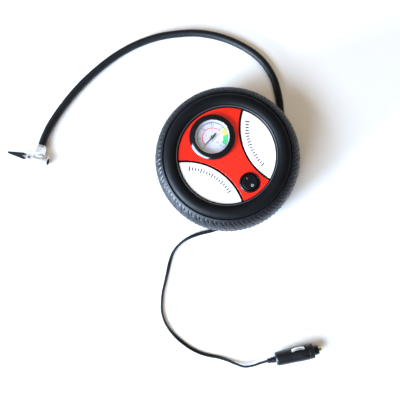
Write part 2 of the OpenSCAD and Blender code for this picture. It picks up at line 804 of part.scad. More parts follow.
module hose_ferrule() color("#d5d7da") {
    at_chuck() translate([port_x, 6.9, 0]) along_y() difference() {
        union() {
            cylinder(r = 7, h = 8, $fn = 6);
            translate([0, 0, 7.9]) cylinder(r1 = 6, r2 = 5.3, h = 3);
        }
        translate([0, 0, -1]) cylinder(r = 4.6, h = 14);
    }
}

// The mouth is a cap that screws onto the body and holds the seal
module chuck_body() color("#d5d7da") {
    at_chuck() difference() {
        union() {
            translate([-8, 0, 0]) along_x() cylinder(r = chuck_r - 1, h = mouth_x + 7.98);
            translate([port_x, 0, 0]) along_y() cylinder(r = 4.5, h = 9.6);
            for (s = [-1, 1]) {
                translate([pin_x, 0, s * 3.6 - 1]) cylinder(r = 3.3, h = 2);
                translate([pin_x, -3.3, s * 3.6 - 1]) cube([6, 6.6, 2]);
            }
        }
        translate([-9, 0, 0]) along_x() cylinder(r = 2.6, h = 14);
        translate([port_x, 0, 0]) along_y() cylinder(r = 1.6, h = 12);
        translate([pin_x, 0, -6]) cylinder(r = 1.22, h = 12);
    }
    at_chuck() translate([mouth_x, 0, 0]) along_x() difference() {
        cylinder(r = chuck_r, h = 6.5);
        translate([0, 0, -1]) cylinder(r = 5, h = 6.5);
        translate([0, 0, 5]) cylinder(r = 4.2, h = 3);
    }
}

module chuck_seal() color("#141517") {
    at_chuck() translate([3.6, 0, 0]) along_x() washer(4.95, 3.9, 5.3);
}

// A waist lets the air past the plunger from the hose port
module chuck_plunger() color("#c9a227") {
    at_chuck() translate([pin_x + 4.55, 0, 0]) along_x() {
        cylinder(r = 1.2, h = 2);
        translate([0, 0, 1.9]) cylinder(r = 2.54, h = 1.6);
        translate([0, 0, 3.4]) cylinder(r = 1.4, h = 4.2);
        translate([0, 0, 7.5]) cylinder(r = 2.54, h = 3.9);
    }
}

module lever_pin() color("silver") {
    at_chuck() translate([pin_x, 0, -5]) cylinder(r = 1.2, h = 10);
}

// The cam's radius falls along a spiral, so the plunger moves back as the lever folds
module chuck_lever() color("#d5d7da") {
    cam = concat(
        [for (a = [0:10:90]) (4.3 - 2.3 * a / 90) * [cos(a), -sin(a)]],
        [for (a = [180:15:330]) 3.1 * [cos(a), -sin(a)]],
        [[4.2 * cos(15), 4.2 * sin(15)]]);
    at_chuck() translate([pin_x, 0, -2.3]) difference() {
        union() {
            linear_extrude(4.6) polygon(cam);
            translate([-9, -2, 0]) cube([8, 4, 4.6]);
        }
        translate([0, 0, -1]) cylinder(r = 1.2 + run_fit, h = 8);
    }
}

module lever_grip() color("#17181a") {
    at_chuck() translate([pin_x, 0, -grip_w / 2]) difference() {
        linear_extrude(grip_w) polygon([
            [-5.4, -3.4], [-5.4, 3.4], [-7.5, 3.9], [2 - lever_len, 1.7], [-lever_len, 1.1],
            [-lever_len, -1.1], [2 - lever_len, -1.7], [-7.5, -3.9]]);
        translate([-9.1, -2.05, 0.55]) cube([8, 4.1, 4.7]);
    }
}

front_shell();
rear_shell();
hub_cover();
housing_screws();
cover_screws();
red_panel();
left_panel();
right_panel();
gauge_case();
gauge_bezel();
gauge_lens();
gauge_dial();
gauge_pointer();
movement_plates();
sector_gear();
bourdon_tube();
gauge_stem();
gauge_line();
switch_body();
switch_rocker();
switch_terminals();
compressor_frame();
motor_can();
motor_magnets();
motor_end_bell();
motor_rotor();
motor_shaft();
motor_pinion();
crank_axle();
axle_bush();
crank_gear();
crank_pin();
connecting_rod();
wrist_pin();
piston();
piston_ring();
cylinder_body();  // cylinder
cylinder_head();
head_screws();
outlet_elbow();
wiring();
cord_gland();
cord_coil();
power_cord();
cord_boot();
plug_body();
plug_contact_a();
plug_contact_b();
plug_nose();
plug_fuse();
plug_tip();
tip_spring();
air_hose();
hose_ferrule();
chuck_body();
chuck_seal();
chuck_plunger();
lever_pin();
chuck_lever();
lever_grip();
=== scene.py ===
"""Portable tire inflator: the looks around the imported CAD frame.

Meshes are worked out in millimetres and scaled to metres as they are made (MM). The housing
stands on z = 0 with its face up, the gauge towards +Y and the switch towards -Y.
"""
import json
import math

import bmesh
import bpy
import numpy as np
from mathutils import Matrix, Vector


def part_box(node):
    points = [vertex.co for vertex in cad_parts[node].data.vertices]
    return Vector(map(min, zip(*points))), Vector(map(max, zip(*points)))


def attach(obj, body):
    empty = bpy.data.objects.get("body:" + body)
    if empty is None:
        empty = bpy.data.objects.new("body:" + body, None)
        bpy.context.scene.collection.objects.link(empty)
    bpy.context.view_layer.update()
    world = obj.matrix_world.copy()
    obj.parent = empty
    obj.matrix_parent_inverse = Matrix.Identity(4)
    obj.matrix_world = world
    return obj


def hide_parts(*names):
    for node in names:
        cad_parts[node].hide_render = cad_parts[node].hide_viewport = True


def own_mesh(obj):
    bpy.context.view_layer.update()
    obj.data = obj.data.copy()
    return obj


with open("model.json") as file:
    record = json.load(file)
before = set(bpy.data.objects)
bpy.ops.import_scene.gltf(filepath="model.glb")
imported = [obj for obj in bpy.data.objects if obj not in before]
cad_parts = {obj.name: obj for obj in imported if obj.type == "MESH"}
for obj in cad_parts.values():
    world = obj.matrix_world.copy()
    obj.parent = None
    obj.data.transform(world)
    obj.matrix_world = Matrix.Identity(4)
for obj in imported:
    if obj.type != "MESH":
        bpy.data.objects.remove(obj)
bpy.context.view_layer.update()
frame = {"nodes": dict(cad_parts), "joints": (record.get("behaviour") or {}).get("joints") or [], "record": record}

MM = 0.001
scene = bpy.context.scene
nodes = frame["nodes"]
record = frame["record"]
slot_of = {row["node"]: row["material_slot"] for row in record["subparts"]}


# ---- places taken from the frame, in millimetres ----

def middle(node):
    low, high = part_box(node)
    return (low + high) / 2 / MM


def top(node):
    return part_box(node)[1].z / MM


def mount(name):
    row = next(m for m in record["mounts"] if m["name"] == name)
    return Vector(row["pos_m"]) / MM, Vector(row["axis"])


def joint(name):
    return next(j for j in frame["joints"] if j["name"] == name)


GAUGE = middle("gauge_bezel")
SWITCH = middle("switch_body")
FACE_TOP = top("red_panel")
TYRE_R = (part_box("front_shell")[1].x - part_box("front_shell")[0].x) / 2 / MM
MOUTH, MOUTH_AXIS = mount("valve_mouth")
NOSE, NOSE_AXIS = mount("plug_nose")
LEVER_PIN = Vector(joint("lever_fold")["pos_m"]) / MM
LEVER_SET = 12.5           # the lever's pin lies this far behind the chuck's own origin
CHUCK_TURN = Matrix.Rotation(math.atan2(MOUTH_AXIS.y, MOUTH_AXIS.x), 4, "Z")
CHUCK_PLACE = Matrix.Translation(LEVER_PIN + LEVER_SET * MOUTH_AXIS) @ CHUCK_TURN
NOSE_REACH = 41            # from the back of the plug's body to its nose mount
CONTACT_AXIS = Vector(joint("contact_b_press")["axis"])
PLUG_TURN = Matrix((NOSE_AXIS, CONTACT_AXIS, NOSE_AXIS.cross(CONTACT_AXIS))).transposed()
PLUG_PLACE = Matrix.Translation(NOSE - NOSE_REACH * NOSE_AXIS) @ PLUG_TURN.to_4x4()
AXIS_X = Matrix.Rotation(math.pi / 2, 4, "Y")     # turns a lathe shape's axis to +X
AXIS_Y = Matrix.Rotation(-math.pi / 2, 4, "X")    # and to +Y


def turned(degrees):
    return Matrix.Rotation(math.radians(degrees), 4, "Z")


def polar(radius, degrees):
    t = math.radians(degrees)
    return radius * math.cos(t), radius * math.sin(t)


def add(name, data):
    """A new object in the scene."""
    obj = bpy.data.objects.new(name, data)
    scene.collection.objects.link(obj)
    return obj


# ---- camera, lights and floor ----

def camera_and_stage():
    data = bpy.data.cameras.new("camera")
    data.angle = math.radians(40)
    camera = add("camera", data)
    eye = Vector((-0.0697, -0.0892, 0.6502))
    target = Vector((-0.0526, -0.0130, 0.0))
    up = Vector((0.630, 0.776, 0.0))
    back = (eye - target).normalized()
    right = up.cross(back).normalized()
    above = back.cross(right)
    turn = Matrix((right, above, back)).transposed().to_4x4()
    camera.matrix_world = Matrix.Translation(eye) @ turn
    scene.camera = camera

    def area(name, place, aim, width, height, power, colour):
        light = bpy.data.lights.new(name, "AREA")
        light.shape = "RECTANGLE"
        light.size = width
        light.size_y = height
        light.energy = power
        light.color = colour
        lamp = add(name, light)
        lamp.location = place
        lamp.rotation_euler = (Vector(aim) - Vector(place)).to_track_quat("-Z", "Y").to_euler()
        return lamp

    area("window", (-1.82, -0.02, 1.56), (0, 0, 0.03), 2.4, 0.85, 102, (0.64, 0.79, 1.0))
    area("low_window", (-2.2, 0.27, 0.5), (0, 0, 0.03), 1.0, 0.4, 175, (0.60, 0.77, 1.0))
    # the room's soft light, which leaves no patches of its own on the glossy parts
    for lamp in (
            area("ceiling", (0.2, 0.15, 1.8), (0, 0, 0), 1.9, 1.9, 13, (1.0, 0.80, 0.55)),
            area("wall", (0.9, 1.3, 1.3), (0.1, 0.1, 0), 1.2, 1.0, 4, (1.0, 0.80, 0.58))):
        lamp.visible_glossy = False

    world = bpy.data.worlds.new("studio")
    scene.world = world
    world.use_nodes = True
    background = world.node_tree.nodes["Background"]
    background.inputs["Color"].default_value = (0.92, 0.90, 0.88, 1)
    background.inputs["Strength"].default_value = 0.14
    scene.view_settings.view_transform = "Standard"

    mesh = bpy.data.meshes.new("floor")
    grid = bmesh.new()
    bmesh.ops.create_grid(grid, x_segments=8, y_segments=8, size=20.0)
    grid.to_mesh(mesh)
    grid.free()
    floor = add("floor", mesh)
    mesh.materials.append(finish("floor", (0.93, 0.925, 0.92), 0.7, mottle=(6, 0.02)))


# ---- materials ----

def finish(name, colour, roughness, metallic=0.0, coat=0.0, mottle=(60, 0.12), grain=(2500, 0.0),
           smudge=0.06, wear_and_edge_highlight=None, dust=0.0, stretch=(1, 1, 1), scratches=0.0, specular=0.5):
    """A procedural finish. mottle is (scale, share) of slow colour change, grain is (scale, depth
    in mm) of the surface's relief, smudge the spread of its roughness, wear_and_edge_highlight the
    colour of its rubbed edges, which on the tread is also a painted highlight along the groove
    edges, dust the share of pale dust in hollows, stretch the scale of its patterns along each
    axis, scratches the relief of hairlines and specular the strength of its reflections."""
    material = bpy.data.materials.new(name)
    material.use_nodes = True
    tree = material.node_tree
    shader = tree.nodes["Principled BSDF"]
    for socket, value in (("Metallic", metallic), ("Specular IOR Level", specular),
                          ("Coat Weight", coat), ("Coat Roughness", 0.08)):
        shader.inputs[socket].default_value = value
    link = tree.links.new

    def node(kind, **values):
        made = tree.nodes.new(kind)
        for key, value in values.items():
            made.inputs[key].default_value = value
        return made

    place = tree.nodes.new("ShaderNodeTexCoord")
    scaled = node("ShaderNodeMapping", Scale=stretch)
    link(place.outputs["Object"], scaled.inputs["Vector"])

    def noise(scale, detail, mapping=scaled):
        made = node("ShaderNodeTexNoise", Scale=scale, Detail=detail)
        link(mapping.outputs["Vector"], made.inputs["Vector"])
        return made.outputs["Fac"]

    def spread(value, low, high, start=0.3, stop=0.7):
        made = node("ShaderNodeMapRange", **{"From Min": start, "From Max": stop,
                                             "To Min": low, "To Max": high})
        link(value, made.inputs["Value"])
        return made.outputs["Result"]

    def relief(height, depth, under=None):
        made = node("ShaderNodeBump", Strength=1.0, Distance=depth * MM)
        link(height, made.inputs["Height"])
        if under is not None:
            link(under, made.inputs["Normal"])
        return made.outputs["Normal"]

    def mix(factor, first, second):
        made = tree.nodes.new("ShaderNodeMix")
        made.data_type = "RGBA"
        link(factor, made.inputs["Factor"])
        for socket, value in ((made.inputs["A"], first), (made.inputs["B"], second)):
            if isinstance(value, tuple):
                socket.default_value = (*value, 1)
            else:
                link(value, socket)
        return made.outputs["Result"]

    share = mottle[1]
    dark = tuple(c * (1 - share) for c in colour)
    light = tuple(min(1.0, c * (1 + share)) for c in colour)
    shade = mix(spread(noise(mottle[0], 4), 0, 1), dark, light)
    # pointiness is 0.5 on a flat face, more along an edge and less in a hollow
    if dust or wear_and_edge_highlight:
        bend = tree.nodes.new("ShaderNodeNewGeometry").outputs["Pointiness"]
    if dust:
        hollow = spread(bend, dust, 0, 0.44, 0.5)
        shade = mix(hollow, shade, (0.33, 0.31, 0.28))
    # the edge colour is rubbed wear; on the tread it is also a painted highlight along the groove edges
    if wear_and_edge_highlight:
        edge = spread(bend, 0, 0.55, 0.52, 0.60)
        patchy = node("ShaderNodeMath")
        patchy.operation = "MULTIPLY"
        link(edge, patchy.inputs[0])
        link(spread(noise(180, 5), 0, 1, 0.4, 0.6), patchy.inputs[1])
        shade = mix(patchy.outputs["Value"], shade, wear_and_edge_highlight)
    link(shade, shader.inputs["Base Color"])
    link(spread(noise(mottle[0] * 2.3, 5), roughness - smudge, roughness + smudge),
         shader.inputs["Roughness"])

    least = 0.004      # even a polished surface isn't quite smooth
    surface = relief(noise(grain[0], 3), max(grain[1], least))
    if scratches:
        lines = node("ShaderNodeMapping", Scale=(40, 2600, 2600), Rotation=(0.3, 0.2, 0.6))
        link(place.outputs["Object"], lines.inputs["Vector"])
        surface = relief(noise(1.0, 2, lines), scratches, surface)
    link(surface, shader.inputs["Normal"])
    return material


def clear_plastic(name):
    """The gauge's clear cover, with faint polishing marks."""
    material = finish(name, (0.97, 0.985, 1.0), 0.03, smudge=0.015, mottle=(90, 0.01))
    shader = material.node_tree.nodes["Principled BSDF"]
    shader.inputs["Transmission Weight"].default_value = 1.0
    shader.inputs["IOR"].default_value = 1.45
    return material


LOOKS = {
    "black_shell": ((0.0042, 0.0046, 0.0056), 0.48, dict(grain=(2200, 0.010), mottle=(25, 0.10),
        smudge=0.05, wear_and_edge_highlight=(0.03, 0.03, 0.033), specular=0.18)),
    # the tread's pale bluish edge colour is rubbed wear and a painted highlight along the groove edges
    "tread": ((0.007, 0.008, 0.0105), 0.43, dict(grain=(1500, 0.015), mottle=(40, 0.18),
        wear_and_edge_highlight=(0.08, 0.088, 0.105), specular=0.40)),
    # the bead's paler grey is a painted highlight: it stands for the light line along the bead's crest all round
    # the face
    "bead_grey": ((0.05, 0.052, 0.058), 0.4, dict(mottle=(60, 0.15), grain=(2200, 0.008))),
    "red_plastic": ((0.95, 0.016, 0.005), 0.34, dict(coat=0.12, mottle=(18, 0.03),
        grain=(900, 0.004), smudge=0.04)),
    "white_plastic": ((0.94, 0.94, 0.935), 0.36, dict(coat=0.15, mottle=(20, 0.015),
        grain=(900, 0.004), smudge=0.05)),
    "bezel_black": ((0.004, 0.004, 0.005), 0.14, dict(coat=1.0, mottle=(30, 0.1), smudge=0.04,
        scratches=0.0015)),
    "dial_white": ((0.44, 0.44, 0.50), 0.5, dict(mottle=(120, 0.02), grain=(3000, 0.004))),
    "pointer_black": ((0.010, 0.010, 0.012), 0.4, dict(mottle=(300, 0.1))),
    "brass": ((0.74, 0.53, 0.24), 0.3, dict(metallic=1.0, mottle=(220, 0.15), scratches=0.003)),
    "steel": ((0.60, 0.61, 0.63), 0.3, dict(metallic=1.0, mottle=(200, 0.12), scratches=0.003)),
    "zinc": ((0.60, 0.57, 0.545), 0.38, dict(metallic=0.7, mottle=(160, 0.15),
        grain=(1800, 0.015), smudge=0.1)),
    "chrome": ((0.86, 0.84, 0.81), 0.24, dict(metallic=0.6, mottle=(120, 0.05), smudge=0.05,
        scratches=0.0015)),
    "motor_steel": ((0.55, 0.56, 0.58), 0.34, dict(metallic=1.0, mottle=(90, 0.12),
        scratches=0.004)),
    "magnet": ((0.05, 0.05, 0.055), 0.6, dict(mottle=(200, 0.2), grain=(1500, 0.03))),
    "winding": ((0.52, 0.20, 0.09), 0.35, dict(metallic=0.6, mottle=(300, 0.2),
        grain=(1400, 0.06), stretch=(0.15, 1, 1))),
    "nylon": ((0.80, 0.78, 0.70), 0.45, dict(mottle=(80, 0.05), grain=(1800, 0.01))),
    "ring_black": ((0.012, 0.012, 0.012), 0.55, dict(mottle=(200, 0.2), grain=(1600, 0.02))),
    "hose_rubber": ((0.007, 0.007, 0.008), 0.46, dict(mottle=(130, 0.25), grain=(1700, 0.04),
        wear_and_edge_highlight=(0.05, 0.05, 0.05), dust=0.05, specular=0.34)),
    "cord_black": ((0.007, 0.007, 0.008), 0.36, dict(mottle=(60, 0.15), grain=(1500, 0.012))),
    "plug_black": ((0.006, 0.006, 0.007), 0.38, dict(mottle=(70, 0.12), grain=(1500, 0.015),
        wear_and_edge_highlight=(0.05, 0.05, 0.055))),
    "switch_black": ((0.005, 0.005, 0.006), 0.36, dict(mottle=(90, 0.1), grain=(2200, 0.008),
        specular=0.28)),
    "black_steel": ((0.012, 0.012, 0.013), 0.35, dict(metallic=0.4, mottle=(150, 0.15))),
    "fuse_glass": ((0.78, 0.80, 0.80), 0.15, dict(mottle=(200, 0.05))),
    "wire_red": ((0.55, 0.02, 0.015), 0.4, dict(mottle=(200, 0.1), grain=(1800, 0.01))),
}
FINISHES = {name: finish(name, colour, roughness, **more)
            for name, (colour, roughness, more) in LOOKS.items()}
FINISHES["clear_lens"] = clear_plastic("clear_lens")
PRINTS = {ink: finish(f"print_{ink}", colour, 0.5, mottle=(500, share)) for ink, colour, share in (
    ("dark", (0.02, 0.02, 0.024), 0.2), ("black", (0.012, 0.012, 0.016), 0.2),
    ("red", (0.70, 0.03, 0.05), 0.1), ("cyan", (0.09, 0.27, 0.31), 0.1),
    ("yellow", (0.95, 0.78, 0.05), 0.06), ("green", (0.015, 0.33, 0.11), 0.06),
    ("white", (0.55, 0.55, 0.56), 0.1))}


# ---- mesh tools ----

def mended(mesh, repair):
    """Runs a repair on the mesh's editable form."""
    work = bmesh.new()
    work.from_mesh(mesh)
    repair(work)
    work.to_mesh(mesh)
    work.free()
    return mesh


def face_outwards(work):
    bmesh.ops.recalc_face_normals(work, faces=work.faces)


def mesh_seen(obj):
    """The mesh that an object shows, with its curves and modifiers worked out."""
    bpy.context.view_layer.update()
    seen = obj.evaluated_get(bpy.context.evaluated_depsgraph_get())
    return bpy.data.meshes.new_from_object(seen)


def mesh_of_curve(curve):
    """Turns a curve or a text into a mesh."""
    holder = add(curve.name, curve)
    mesh = mesh_seen(holder)
    bpy.data.objects.remove(holder)
    bpy.data.curves.remove(curve)
    mesh.materials.clear()
    return mesh


def piece(name, mesh, look, body="housing", replaces=(), smooth=35, place=None):
    """Turns a mesh in millimetres into a piece in metres that rides on a body. look names its
    finish, which is its material slot too, or its print."""
    if place is not None:
        mesh.transform(place)
    mesh.transform(Matrix.Scale(MM, 4))
    mended(mesh, face_outwards)
    mesh.polygons.foreach_set("use_smooth", [True] * len(mesh.polygons))
    mesh.set_sharp_from_angle(angle=math.radians(smooth))
    mesh.materials.append(FINISHES[look] if look in FINISHES else PRINTS[look])
    obj = add(name, mesh)
    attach(obj, body)
    if replaces:
        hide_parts(*replaces)
    return obj


def even_shading(obj):
    """Flat faces stay flat beside their rounded edges."""
    weights = obj.modifiers.new("even_shading", "WEIGHTED_NORMAL")
    weights.keep_sharp = True
    weights.weight = 80
    return obj


def mesh_of(name, points, faces):
    mesh = bpy.data.meshes.new(name)
    mesh.from_pydata(points, [], faces)
    return mesh


def grid_faces(rows, columns, close_rows, close_columns):
    """Quads of a grid of points, stored row by row."""
    r = np.arange(rows if close_rows else rows - 1)
    c = np.arange(columns if close_columns else columns - 1)
    rr, cc = np.meshgrid(r, c, indexing="ij")
    r2 = (rr + 1) % rows
    c2 = (cc + 1) % columns
    quads = np.stack([rr * columns + cc, rr * columns + c2, r2 * columns + c2,
                      r2 * columns + cc], axis=-1)
    return quads.reshape(-1, 4).tolist()


def tube_faces(rows, columns):
    """Quads of a tube of rings, with a face on each end."""
    ends = [list(range(columns - 1, -1, -1)), list(range((rows - 1) * columns, rows * columns))]
    return grid_faces(rows, columns, False, True) + ends


def spun(name, profile, columns=96, closed=True, change=None):
    """A lathe mesh about Z from (radius, height) points. change(angles, rows, points) may move
    its points, which are given as an array of rows by columns by 3."""
    profile = np.asarray(profile, float)
    angles = np.linspace(0, 2 * math.pi, columns, endpoint=False)
    points = np.empty((len(profile), columns, 3))
    points[..., 0] = profile[:, 0:1] * np.cos(angles)
    points[..., 1] = profile[:, 0:1] * np.sin(angles)
    points[..., 2] = profile[:, 1:2]
    if change is not None:
        change(angles, profile, points)
    mesh = mesh_of(name, points.reshape(-1, 3).tolist(),
                   grid_faces(len(profile), columns, closed, True))

    def weld(work):
        bmesh.ops.remove_doubles(work, verts=work.verts, dist=1e-5)
        if not closed:
            ends = [e for e in work.edges if e.is_boundary]
            bmesh.ops.holes_fill(work, edges=ends, sides=0)

    return mended(mesh, weld)


def rounded(corners, radius, steps=4, closed=True):
    """Points of a polygon whose corners are replaced by short curves. radius is one number, or
    one for each corner."""
    corners = [np.asarray(c, float) for c in corners]
    radii = radius if hasattr(radius, "__len__") else [radius] * len(corners)
    last = len(corners) - 1
    result = []
    for i, corner in enumerate(corners):
        if (not closed and i in (0, last)) or radii[i] <= 0:
            result.append(tuple(corner))
            continue
        before = corners[i - 1] - corner
        after = corners[(i + 1) % len(corners)] - corner
        cut = min(radii[i], 0.45 * np.linalg.norm(before), 0.45 * np.linalg.norm(after))
        start = corner + before / np.linalg.norm(before) * cut
        stop = corner + after / np.linalg.norm(after) * cut
        for k in range(steps + 1):
            t = k / steps
            result.append(tuple((1 - t) ** 2 * start + 2 * t * (1 - t) * corner + t * t * stop))
    return result


def ellipse(centre, a, b, start, stop, steps):
    angles = np.radians(np.linspace(start, stop, steps + 1))
    return [(centre[0] + a * math.cos(t), centre[1] + b * math.sin(t)) for t in angles]


def arc(centre, radius, start, stop, steps=48):
    return ellipse(centre, radius, radius, start, stop, steps)


def disc(centre, radius, steps):
    return arc(centre, radius, 0, 360, steps)[:-1]


def hole(centre, radius, steps):
    return arc(centre, radius, 360, 0, steps)[:-1]


def bar(half_x, half_y, radius, x=0.0):
    """A rectangle with rounded corners, whose middle is at x."""
    return rounded([(x - half_x, -half_y), (x + half_x, -half_y), (x + half_x, half_y),
                    (x - half_x, half_y)], radius, 2)


def plate(name, outlines, low, high, bevel=0.2, steps=3):
    """A flat mesh between two heights from closed outlines, the first outside and the others
    holes, with rounded edges."""
    curve = bpy.data.curves.new(name, "CURVE")
    curve.dimensions = "2D"
    curve.fill_mode = "BOTH"
    for outline in outlines:
        spline = curve.splines.new("POLY")
        spline.points.add(len(outline) - 1)
        for point, (x, y) in zip(spline.points, outline):
            point.co = (x, y, 0, 1)
        spline.use_cyclic_u = True
    curve.bevel_depth = bevel
    curve.bevel_resolution = steps
    curve.offset = -bevel
    curve.extrude = (high - low) / 2 - bevel
    mesh = mesh_of_curve(curve)
    mesh.transform(Matrix.Translation((0, 0, (low + high) / 2)))
    return mended(mesh, lambda work: bmesh.ops.remove_doubles(work, verts=work.verts, dist=1e-4))


def joined(name, meshes):
    """One mesh from several."""
    together = bmesh.new()
    for mesh in meshes:
        together.from_mesh(mesh)
        bpy.data.meshes.remove(mesh)
    mesh = bpy.data.meshes.new(name)
    together.to_mesh(mesh)
    together.free()
    return mesh


def cut_away(obj, cutters):
    """Takes closed cutter meshes, in metres, out of a piece."""
    for number, mesh in enumerate(cutters):
        cutter = add(f"cutter_{number}", mesh)
        cut = obj.modifiers.new("cut", "BOOLEAN")
        cut.operation = "DIFFERENCE"
        cut.solver = "MANIFOLD"
        cut.object = cutter
        changed = mesh_seen(obj)
        obj.modifiers.remove(cut)
        obj.data = changed
        bpy.data.objects.remove(cutter)
    return obj


def arch(name, width, crown, length, place):
    """A cutter with a round top, for a notch that is open below z = 0."""
    half = width / 2
    below = -2
    outline = [(-half, below), *arc((0, crown - half), half, 180, 0, 16), (half, below)]
    points = [(end, x, z) for end in (0, length) for x, z in outline]
    mesh = mesh_of(name, points, tube_faces(2, len(outline)))
    mesh.transform(Matrix.Scale(MM, 4) @ place)
    return mended(mesh, face_outwards)


def between(u, v, start, stop, t):
    """The point at t on the line that is at u when t is start and at v when t is stop."""
    return u * (stop - t) / (stop - start) + v * (t - start) / (stop - start)


def smooth_path(points, step):
    """Points about a step apart on a centripetal curve through the given ones."""
    p = np.asarray(points, float)
    p = np.vstack([2 * p[0] - p[1], p, 2 * p[-1] - p[-2]])
    result = []
    for i in range(1, len(p) - 2):
        a, b, c, d = p[i - 1], p[i], p[i + 1], p[i + 2]
        knots = np.cumsum([0, *(np.linalg.norm(v) ** 0.5 for v in (b - a, c - b, d - c))])
        count = max(2, round(np.linalg.norm(c - b) / step))
        for t in np.linspace(knots[1], knots[2], count, endpoint=False):
            k0, k1, k2, k3 = knots
            e = between(a, b, k0, k1, t)
            f = between(b, c, k1, k2, t)
            g = between(c, d, k2, k3, t)
            h = between(e, f, k0, k2, t)
            j = between(f, g, k1, k3, t)
            result.append(between(h, j, k1, k2, t))
    result.append(p[-2])
    return np.array(result)


def distances(path):
    return np.concatenate([[0], np.cumsum(np.linalg.norm(np.diff(path, axis=0), axis=1))])


def swept(name, path, section):
    """A tube mesh along a path. section(distance) gives its (side, up) points there, where up
    is as near to +Z as the path allows."""
    along = distances(path)
    heading = np.gradient(path, axis=0)
    heading /= np.linalg.norm(heading, axis=1)[:, None]
    side = np.cross(heading, (0, 0, 1))
    side /= np.linalg.norm(side, axis=1)[:, None]
    up = np.cross(side, heading)
    rings = [np.asarray(section(s)) for s in along]
    points = np.array([
        centre + ring[:, 0:1] * a + ring[:, 1:2] * b
        for centre, a, b, ring in zip(path, side, up, rings)])
    return mesh_of(name, points.reshape(-1, 3).tolist(), tube_faces(*points.shape[:2]))


# ---- cord and hose ----

HOSE_D = 9.0
CORD_W = 4.2
CORD_T = 2.1
HOSE_ROUTE = [
    (-4, -57, 11), (10, -57, 10.6), (24, -54, 10.2), (38, -48, 9.9), (51, -39, 9.7),
    (63, -28, 9.2), (73, -15.5, 7.6), (81.5, -3, 5.8), (89, 8.5, 4.8), (95.5, 18, 4.5),
    (102, 29.5, 4.5), (108, 43, 4.5), (111, 56, 4.5), (112, 70, 4.5), (110, 85, 4.5),
    (105, 101, 4.5), (97, 118, 4.5), (86.5, 134, 4.5), (72, 150, 4.5), (55, 163, 4.5),
    (36, 174.5, 4.5), (15, 183, 4.5), (-7, 188.5, 4.5), (-30, 191, 4.5), (-53, 191, 4.5),
    (-76, 189, 4.5), (-98, 185, 4.5), (-119.5, 179.3, 4.6), (-130, 175.7, 4.8),
    (-139.6, 171.7, 5.3), (-148.6, 166.7, 6), (-157, 161.1, 6.7), (-163, 156.7, 7)]
CORD_ROUTE = [
    (-23, -66, 2.3), (-38, -60.5, 2.2), (-52, -55.5, 2.1), (-66, -49.8, 2.1), (-78, -44, 2.1),
    (-90, -40, 2.1), (-103, -38.5, 2.1), (-115.5, -41, 2.1), (-126.5, -47.5, 2.1),
    (-136.5, -55.5, 2.1), (-146, -63, 2.1), (-155, -70, 2.1), (-163.5, -78.5, 2.1),
    (-170.5, -88, 2.1), (-174.5, -99, 2.1), (-175.5, -111, 2.1), (-174.5, -122, 2.1),
    (-172, -133, 2.1), (-168.5, -143, 2.1), (-163.5, -152.5, 2.1), (-157.5, -160.5, 2.1),
    (-151, -168, 2.1), (-145.5, -176, 2.1), (-140.5, -185, 2.6), (-134.5, -194, 3.8),
    (-125.5, -199.2, 6), (-118.4, -201.4, 7.6), (-112.5, -203.6, 8.5), (-107, -206.2, 8.7)]
# from the strain relief down into the innermost turn: angle about the housing, radius, height
LEAD_IN = [(97, 56.4, 7.1), (88, 56.0, 7.0), (80, 54.6, 6.9), (72, 53.0, 6.3), (64, 52.1, 5.0),
           (56, 52.2, 3.6), (48, 52.8, 2.6)]
COIL_TURNS = 6
COIL_START = 40
COIL_STOP = -90 - 360 * COIL_TURNS
COIL_INNER = 53.4
COIL_OUTER = 67.1
COIL_HEIGHT = CORD_W / 2 + 0.15
# how the flat cord turns on its way, as (distance past the coil, angle from lying flat)
CORD_TWIST = [(0, 90), (25, 30), (46, 5), (62, 5), (84, 80), (96, 72), (112, 38), (132, 62),
              (160, 86), (182, 74), (212, 22), (236, 24), (262, 52), (285, 84), (306, 86),
              (320, 70)]


def round_coil():
    """Points of the lead-in and the stored turns, side by side, running clockwise."""
    steps = 18 * COIL_TURNS + 8
    points = [(*polar(radius, angle), height) for angle, radius, height in LEAD_IN]
    for i in range(steps + 1):
        angle = COIL_START + (COIL_STOP - COIL_START) * i / steps
        radius = COIL_INNER + (COIL_OUTER - COIL_INNER) * i / steps
        points.append((*polar(radius, angle), COIL_HEIGHT))
    return points


def averaged(values, weights):
    """A running average whose ends repeat the first and the last value."""
    padded = np.pad(values, len(weights) // 2, mode="edge")
    return np.convolve(padded, weights / weights.sum(), mode="valid")


def make_cord():
    path = smooth_path(round_coil() + CORD_ROUTE, 1.5)
    along = distances(path)
    exit_at = along[np.argmin(np.linalg.norm(path - np.array(CORD_ROUTE[0]), axis=1))]
    turns = averaged(np.radians(np.interp(along - exit_at, *zip(*CORD_TWIST))), np.hanning(15))
    # where the route is this low, the cord lies on the floor, as high as its turned section needs
    lying_z = 2.35
    low = CORD_T / 2 * (1 + np.abs(np.sin(turns))) + 0.02
    lying = (along > exit_at) & (path[:, 2] < lying_z)
    path[lying, 2] = low[lying]
    path[lying, 2] = np.maximum(averaged(path[:, 2], np.ones(9))[lying], low[lying])

    # the section is two round cores side by side, each seen over most of its way round
    seen = 250
    lobes = []
    for side, towards in ((0.98, 0), (-0.98, 180)):
        for t in np.radians(np.linspace(towards - seen / 2, towards + seen / 2, 11)):
            lobes.append((CORD_T / 2 * (side + math.cos(t)), CORD_T / 2 * math.sin(t)))
    lobes = np.array(lobes)

    def section(distance):
        t = float(np.interp(distance, along, turns))
        spin = np.array(((math.cos(t), math.sin(t)), (-math.sin(t), math.cos(t))))
        return lobes @ spin

    mesh = swept("cord", path, section)
    cord = piece("cord", mesh, "cord_black", replaces=("power_cord", "cord_coil"), smooth=60)
    return cord, path


